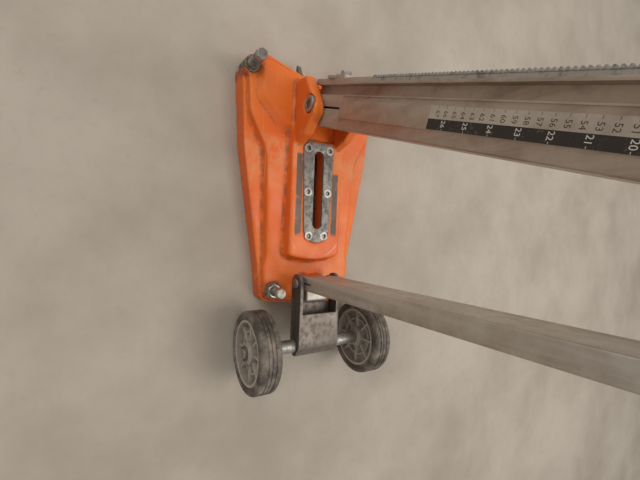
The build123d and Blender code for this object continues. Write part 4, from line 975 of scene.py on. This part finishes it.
@dataclass
class LevellingScrews:
    """Four levelling screws with cut threads, their bushes, and the rear lock nuts and washers."""

    kit: Kit
    skin: Finishes
    across: float = 15 * MM
    nut_across: float = 21 * MM
    head: float = 11 * MM
    core_r: float = 7.1 * MM
    thread_r: float = 8 * MM
    pitch: float = 2 * MM
    washer_t: float = 2.5 * MM
    washer_r: float = 13 * MM

    def screw(self, node: str) -> None:
        """One screw: core and thread in dark steel, head in zinc."""
        low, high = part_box(node)
        x, y = (low.x + high.x) / 2, (low.y + high.y) / 2
        under = high.z - self.head
        tip = low.z + 6 * MM
        core = lathe([(0, low.z), (5 * MM, low.z), (5.5 * MM, low.z + 0.6 * MM), (5.5 * MM, tip),
                      (self.core_r, tip + 1.5 * MM), (self.core_r, under), (0, under)],
                     Way.ALONG_Z, (x, y, 0), 32)
        ridge = helix(self.thread_r, 1.25 * MM, self.pitch, tip + 3 * MM, under - 2 * MM, x, y)
        shank = smooth(merge([core, ridge]), 40)
        head = smooth(hexagon(self.across, under, high.z, x, y), 30)
        self.kit.fit(shank, node + "_thread", self.skin.dark, node)
        self.kit.fit(head, node + "_head", self.skin.zinc, node)

    def seats(self) -> None:
        """Bushes, lock nuts and washers."""
        self.kit.fit(crisp_copy("levelling_screw_bushes", 0.5 * MM), "bush_rings", self.skin.dark,
                     "levelling_screw_bushes")
        nuts, washers = [], []
        low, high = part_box("rear_lock_nuts")
        for node in ("levelling_screw_rear_near", "levelling_screw_rear_far"):
            a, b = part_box(node)
            x, y = (a.x + b.x) / 2, (a.y + b.y) / 2
            nuts.append(hexagon(self.nut_across, low.z, high.z, x, y, self.thread_r + 0.1 * MM, True))
            base = low.z - self.washer_t
            ring = [(self.thread_r + 0.2 * MM, base), (self.washer_r, base),
                    (self.washer_r, low.z - 0.7 * MM),
                    (self.washer_r - 0.8 * MM, low.z), (self.thread_r + 0.2 * MM, low.z),
                    (self.thread_r + 0.2 * MM, base)]
            washers.append(lathe(ring, Way.ALONG_Z, (x, y, 0), 48))
        self.kit.fit(smooth(merge(nuts), 30), "lock_nut_pair", self.skin.zinc, "rear_lock_nuts")
        self.kit.fit(smooth(merge(washers)), "lock_washer_pair", self.skin.dark, "rear_lock_washers")

    def build(self) -> None:
        """Makes the screws and what they pass through."""
        for end in ("front", "rear"):
            for side in ("near", "far"):
                self.screw(f"levelling_screw_{end}_{side}")
        self.seats()


@dataclass
class PivotJoint:
    """Bolt and nut of the column's pivot, and the centre pointer."""

    kit: Kit
    skin: Finishes

    def build(self) -> None:
        """Makes the bolt's cap head with its socket and chamfer, the nut, and the pointer."""
        for node, name, edge, material in (
            ("column_pivot_bolt", "pivot_cap_bolt", 0.6 * MM, self.skin.zinc),
            ("column_pivot_nut", "pivot_hex_nut", 0.6 * MM, self.skin.zinc),
            ("centre_pointer", "pointer_blade", 0.5 * MM, self.skin.dark),
            ("centre_pointer_pin", "pointer_pin", 0.3 * MM, self.skin.dark),
        ):
            self.kit.fit(crisp_copy(node, edge), name, material, node)


# ---------------------------------------------------------------- column


@dataclass
class Column:
    """Drawn column with its foot block, rack, end stop, cap and handle."""

    kit: Kit
    skin: Finishes

    def build(self) -> None:
        """Makes softened pieces of the column from the frame's shapes."""
        for node, name, edge, material in (
            ("column_profile", "column_drawn_profile", 0.45 * MM, self.skin.column),
            ("column_foot_block", "foot_block_cast", 0.6 * MM, self.skin.dark),
            ("gear_rack", "rack_teeth", 0.0, self.skin.steel),
            ("rack_screws", "rack_screw_set", 0.0, self.skin.steel),
            ("end_stop", "end_stop_block", 0.8 * MM, self.skin.stay),
            ("end_stop_screw", "end_stop_bolt", 0.5 * MM, self.skin.zinc),
            ("column_front_step", "front_step_ground", 0.4 * MM, self.skin.column),
            ("column_top_cap", "top_cap_moulded", 0.8 * MM, self.skin.black),
            ("carry_handle", "carry_handle_bar", 0.0, self.skin.black),
        ):
            self.kit.fit(crisp_copy(node, edge), name, material, node)


@dataclass
class Scale:
    """Printed centimetre and inch numbers on the near rail's strip."""

    kit: Kit
    skin: Finishes
    zero: float = 909 * MM
    band_front: float = 3.3 * MM
    digit: float = 6.6 * MM
    inch_digit: float = 7.0 * MM
    lift: float = 0.06 * MM
    last: int = 67

    def text(self, words: str, across: float, along: float, size: float, face: float) -> bpy.types.Object:
        """One number as flat mesh on the strip, its middle at a place on the column."""
        bpy.ops.object.select_all(action="DESELECT")
        bpy.ops.object.text_add()
        piece = bpy.context.active_object
        curve = piece.data
        curve.body, curve.size = words, size
        curve.align_x, curve.align_y = "CENTER", "CENTER"
        curve.resolution_u = 3
        bpy.ops.object.convert(target="MESH")
        piece = bpy.context.active_object
        piece.data.transform(Matrix.Translation((across, face, along)) @ Matrix.Rotation(math.pi / 2, 4, "X"))
        return piece

    def bar(self, front: float, rear: float, low: float, high: float, face: float) -> bpy.types.Object:
        """Thin printed rectangle, upright in the column's own frame."""
        middle = ((front + rear) / 2, face, (low + high) / 2)
        return block((rear - front, self.lift / 2, high - low), middle, 0)

    def build(self) -> None:
        """Makes the strip, the black band, the ticks and all the numbers."""
        lean = self.kit.column
        low, high = lean.box("scale_strip")
        strip = crisp_copy("scale_strip", 0)
        self.kit.fit(strip, "scale_backing", self.skin.stay, "scale_strip")
        face = low.y
        front = low.x
        dark = [self.bar(self.band_front, high.x, low.z, high.z, face)]
        for number in range(self.last + 1):
            along = self.zero - number * 10 * MM
            if along > high.z - 4 * MM:
                continue
            below, beyond = along - 0.2 * MM, along + 0.2 * MM
            dark.append(self.bar(front + 0.2 * MM, front + 2.6 * MM, below, beyond, face))
            dark.append(self.text(str(number), -1.6 * MM, along, self.digit, face - self.lift / 4))
        pale = []
        for inch in range(1, 27):
            along = self.zero - inch * 25.4 * MM
            above = face - self.lift / 2
            below, beyond = along - 0.2 * MM, along + 0.2 * MM
            pale.append(self.bar(high.x - 1.8 * MM, high.x - 0.3 * MM, below, beyond, above))
            pale.append(self.text(str(inch), 7.4 * MM, along, self.inch_digit, above - self.lift / 4))
        for pieces, name, material in ((dark, "scale_print_dark", self.skin.ink),
                                       (pale, "scale_print_pale", self.skin.white)):
            print_piece = merge(pieces)
            print_piece.data.transform(lean.matrix)
            self.kit.fit(print_piece, name, material, body="column")


# ---------------------------------------------------------------- stay


@dataclass
class Stay:
    """Stay tube, its head and foot, and the clamp on the column's back with its star knob."""

    kit: Kit
    skin: Finishes

    def build(self) -> None:
        """Makes the tube and the clamp from softened copies."""
        for node, name, edge, material in (
            ("stay_tube", "stay_drawn_tube", 0.9 * MM, self.skin.stay),
            ("stay_foot_bush", "stay_foot_rings", 0.3 * MM, self.skin.dark),
            ("stay_head", "stay_head_forged", 0.8 * MM, self.skin.dark),
            ("stay_clamp", "stay_clamp_cast", 0.9 * MM, self.skin.dark),
            ("stay_clamp_studs", "stay_clamp_stud_pair", 0.6 * MM, self.skin.zinc),
            ("stay_clamp_bolt", "stay_clamp_t_bolt", 0.3 * MM, self.skin.zinc),
            ("stay_clamp_knob", "stay_clamp_star_knob", 1.6 * MM, self.skin.black),
        ):
            self.kit.fit(crisp_copy(node, edge, 3), name, material, node)


# ---------------------------------------------------------------- wheels


@dataclass
class WheelBracket:
    """Steel channel behind the base with its flush pins, stay pin, axle and spacers."""

    kit: Kit
    skin: Finishes

    def build(self) -> None:
        """Makes the folded channel and its fasteners."""
        for node, name, edge, material in (
            ("wheel_bracket", "bracket_folded", 1.3 * MM, self.skin.bracket),
            ("wheel_bracket_pins", "bracket_pin_pair", 0.4 * MM, self.skin.bracket),
            ("stay_pin", "stay_pin_domed", 1.2 * MM, self.skin.zinc),
            ("wheel_axle", "axle_rod", 0.8 * MM, self.skin.steel),
            ("axle_spacers", "axle_spacer_tubes", 0.5 * MM, self.skin.steel),
            ("axle_clips", "axle_clip_rings", 0.4 * MM, self.skin.dark),
        ):
            self.kit.fit(crisp_copy(node, edge, 3), name, material, node)


@dataclass
class Wheels:
    """Two transport wheels: rubber tyres with grooves on ribbed plastic rims with pockets."""

    kit: Kit
    skin: Finishes
    tyre_r: float = 62.45 * MM
    rim_r: float = 50 * MM
    shoulder: float = 6 * MM
    groove: float = 1.1 * MM
    hub_r: float = 17 * MM
    bore_r: float = 7.6 * MM
    ribs: int = 8

    def tyre(self, centre: Point, half: float) -> bpy.types.Object:
        """Tyre with round shoulders, three grooves and a bead line on each side."""
        curve = []
        for n in range(7):
            angle = n * math.pi / 12
            curve.append((self.tyre_r - self.shoulder * (1 - math.cos(angle)),
                          half - self.shoulder * (1 - math.sin(angle))))
        side = [(self.rim_r, half - 0.6 * MM), (self.rim_r + 1.6 * MM, half), (self.rim_r + 4 * MM, half),
                (self.rim_r + 4.4 * MM, half - 0.6 * MM), (self.rim_r + 5 * MM, half)]
        crown = []
        for middle in (6 * MM, 0.0, -6 * MM):
            wide = 1.2 * MM if middle else 0.7 * MM
            crown += [(self.tyre_r, middle + wide), (self.tyre_r - self.groove, middle + wide * 0.8),
                      (self.tyre_r - self.groove, middle - wide * 0.8), (self.tyre_r, middle - wide)]
        upper = side + curve[::-1]
        lower = [(r, -y) for r, y in reversed(upper)]
        outline = upper + crown + lower
        piece = lathe([*outline, outline[0]], Way.ALONG_Y, centre, 96)
        return smooth(piece, 38)

    def rim(self, centre: Point, half: float) -> bpy.types.Object:
        """Rim: a ring, a web with raised lands between pockets, ribs and a stepped hub."""
        edge = half - 2 * MM
        inner = self.rim_r - 5 * MM
        ring = [(self.rim_r - 0.05 * MM, -edge), (self.rim_r - 0.05 * MM, edge),
                (self.rim_r - 1.2 * MM, edge + 1 * MM),
                (inner + 0.8 * MM, edge + 1 * MM), (inner, edge), (inner, 3 * MM), (self.hub_r, 2.5 * MM),
                (self.hub_r, half - 3 * MM), (self.hub_r - 1 * MM, half - 2 * MM),
                (self.hub_r - 3 * MM, half - 2 * MM),
                (self.hub_r - 4 * MM, half), (self.bore_r + 1 * MM, half), (self.bore_r, half - 1 * MM)]
        mirror = [(r, -y) for r, y in reversed(ring)]
        parts = [lathe([*ring, *mirror[:-2], ring[0]], Way.ALONG_Y, centre, 72)]
        reach = inner - self.hub_r + 2 * MM
        for n in range(self.ribs):
            rib = block((reach, 2 * (half - 6 * MM), 3.6 * MM), ((self.hub_r + inner) / 2, 0, 0), 0.7 * MM, 2)
            turn = Matrix.Rotation(2 * math.pi * n / self.ribs, 4, "Y")
            rib.data.transform(Matrix.Translation(centre) @ turn)
            parts.append(rib)
        for radius, wide in ((31 * MM, 2.4 * MM),):
            for sign in (-1, 1):
                low, high = sorted((sign * 2 * MM, sign * (half - 8 * MM)))
                hoop = [(radius - wide / 2, low), (radius + wide / 2, low), (radius + wide / 2, high),
                        (radius - wide / 2, high), (radius - wide / 2, low)]
                parts.append(lathe(hoop, Way.ALONG_Y, centre, 72))
        return smooth(merge(parts), 35)

    def build(self) -> None:
        """Makes both wheels, one for each side."""
        for side in ("near", "far"):
            low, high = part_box("tyre_" + side)
            centre = tuple((low + high) / 2)
            half = (high.y - low.y) / 2
            self.kit.fit(self.tyre(centre, half), f"tyre_{side}_grooved", self.skin.rubber, "tyre_" + side)
            self.kit.fit(self.rim(centre, half), f"rim_{side}_ribbed", self.skin.rim, "wheel_rim_" + side)


# ---------------------------------------------------------------- carriage


@dataclass
class Carriage:
    """Feed carriage with rollers, pinion shaft, hand crank, motor plate and lock lever."""

    kit: Kit
    skin: Finishes

    def build(self) -> None:
        """Makes the carriage's pieces from softened copies."""
        rollers = [f"guide_roller_{end}_{side}" for end in ("lower", "upper") for side in ("near", "far")]
        plain = [(node, node + "_turned", 0.4 * MM, self.skin.steel) for node in rollers]
        for node, name, edge, material in (
            ("carriage_housing", "carriage_welded", 1.2 * MM, self.skin.carriage_paint),
            ("motor_plate", "motor_plate_milled", 0.8 * MM, self.skin.plate),
            ("feed_shaft_bushes", "feed_bush_pair", 0.4 * MM, self.skin.bronze),
            ("guide_roller_bolts", "roller_bolt_set", 0.5 * MM, self.skin.zinc),
            ("feed_shaft", "feed_pinion_shaft", 0.0, self.skin.steel),
            ("feed_shaft_collar", "shaft_collar_ring", 0.5 * MM, self.skin.dark),
            ("crank_hub", "crank_hub_turned", 0.9 * MM, self.skin.zinc),
            ("crank_spokes", "crank_spoke_rods", 0.4 * MM, self.skin.zinc),
            ("crank_grips", "crank_grip_set", 0.6 * MM, self.skin.black),
            ("carriage_lock_lever", "lock_lever_forged", 0.9 * MM, self.skin.dark),
            *plain,
        ):
            self.kit.fit(crisp_copy(node, edge, 2), name, material, node)


# ---------------------------------------------------------------- studio


@dataclass
class Studio:
    """Floor, soft lights, sky and the camera."""

    place: Point = (0.1823, -0.3087, 0.5674)
    pitch: float = 58.0165
    yaw: float = 3.7962
    roll: float = 5.4931
    lens: float = 20.195
    sensor: float = 36.0

    def camera(self) -> None:
        """Camera from above on the near side, held on its side so that upright is to the right."""
        pitch, yaw, roll = (math.radians(a) for a in (self.pitch, self.yaw, self.roll))
        forward = Vector((math.sin(yaw) * math.cos(pitch), math.cos(yaw) * math.cos(pitch), -math.sin(pitch)))
        right = Vector((math.cos(yaw), -math.sin(yaw), 0))
        upward = right.cross(forward)
        image_down = math.cos(roll) * right + math.sin(roll) * upward
        image_right = -math.sin(roll) * right + math.cos(roll) * upward
        bpy.ops.object.camera_add()
        camera = bpy.context.active_object
        turn = Matrix((image_right, -image_down, -forward)).transposed()
        camera.matrix_world = Matrix.Translation(self.place) @ turn.to_4x4()
        camera.data.lens, camera.data.sensor_width = self.lens, self.sensor
        camera.data.clip_start = 0.01
        bpy.context.scene.camera = camera

    def floor(self) -> bpy.types.Object:
        """Wide flat floor just under the object."""
        bpy.ops.mesh.primitive_plane_add(size=8, location=(0.15, 0, -0.0002))
        floor = bpy.context.active_object
        floor.name = "studio_floor"
        floor.data.materials.append(Concrete().material())
        return floor

    def light(self, name: str, place: Point, aim: Point, size: float, power: float, colour: Colour
              ) -> bpy.types.Object:
        """One square area light aimed at a point."""
        bpy.ops.object.light_add(type="AREA", location=place)
        lamp = bpy.context.active_object
        lamp.name = name
        lamp.data.size, lamp.data.energy, lamp.data.color = size, power, colour
        lamp.rotation_euler = (Vector(aim) - Vector(place)).to_track_quat("-Z", "Y").to_euler()
        return lamp

    def build(self) -> None:
        world = bpy.data.worlds.new("studio")
        bpy.context.scene.world = world
        world.use_nodes = True
        sky = world.node_tree.nodes["Background"]
        sky.inputs["Color"].default_value = (1.0, 0.97, 0.93, 1)
        sky.inputs["Strength"].default_value = 0.5
        floor = self.floor()
        key = self.light("key_light", (0.5, 0.9, 1.9), (0.15, 0, 0.05), 1.2, 17, (1.0, 0.97, 0.93))
        fill = self.light("fill_light", (-1.3, -1.0, 1.6), (0.15, 0, 0.05), 1.6, 14, (1.0, 0.97, 0.94))
        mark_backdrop(floor, key, fill)
        self.camera()
        view = bpy.context.scene.view_settings
        view.view_transform = "Standard"


# ---------------------------------------------------------------- whole


class Stand:
    """The whole stand: its frame, its finishes and its sub-assemblies in order."""

    def __init__(self) -> None:
        """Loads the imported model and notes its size."""
        self.kit = Kit(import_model())
        bpy.ops.object.select_all(action="DESELECT")
        self.size = {"frame": self.measure()}

    @staticmethod
    def measure() -> list[list[float]]:
        """Corners of everything but the stage, as plain numbers."""
        low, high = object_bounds()
        return [[float(c) for c in low], [float(c) for c in high]]

    @staticmethod
    def wear() -> WearPlaces:
        """Worn places of the base, from the frame's own sizes."""
        plate_low, plate_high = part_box("slot_plate")
        pin_low, pin_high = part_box("stay_pin")
        screws = []
        for end in ("front", "rear"):
            for side in ("near", "far"):
                low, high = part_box(f"levelling_screw_{end}_{side}")
                screws.append(((low.x + high.x) / 2, (low.y + high.y) / 2))
        return WearPlaces(slot_rear=plate_high.x - 22 * MM, slot_front=plate_low.x,
                          plate_half=(plate_high.y - plate_low.y) / 2, pad_height=plate_high.z - 2.4 * MM,
                          crease=40 * MM, pin_x=(pin_low.x + pin_high.x) / 2, screws=tuple(screws))

    def build(self) -> None:
        """Makes every sub-assembly, the scale and the studio."""
        skin = Finishes.make(self.kit.column.angle, self.wear())
        for part in (CastBase, LevellingScrews, PivotJoint, Column, Scale, Stay, WheelBracket, Wheels,
                     Carriage):
            LOG.info("building %s", part.__name__)
            part(self.kit, skin).build()
        Studio().build()
        self.size["dressed"] = self.measure()


def main() -> None:
    """Builds the stand."""
    logging.basicConfig(level=logging.INFO)
    Stand().build()


if __name__ == "__main__":
    main()
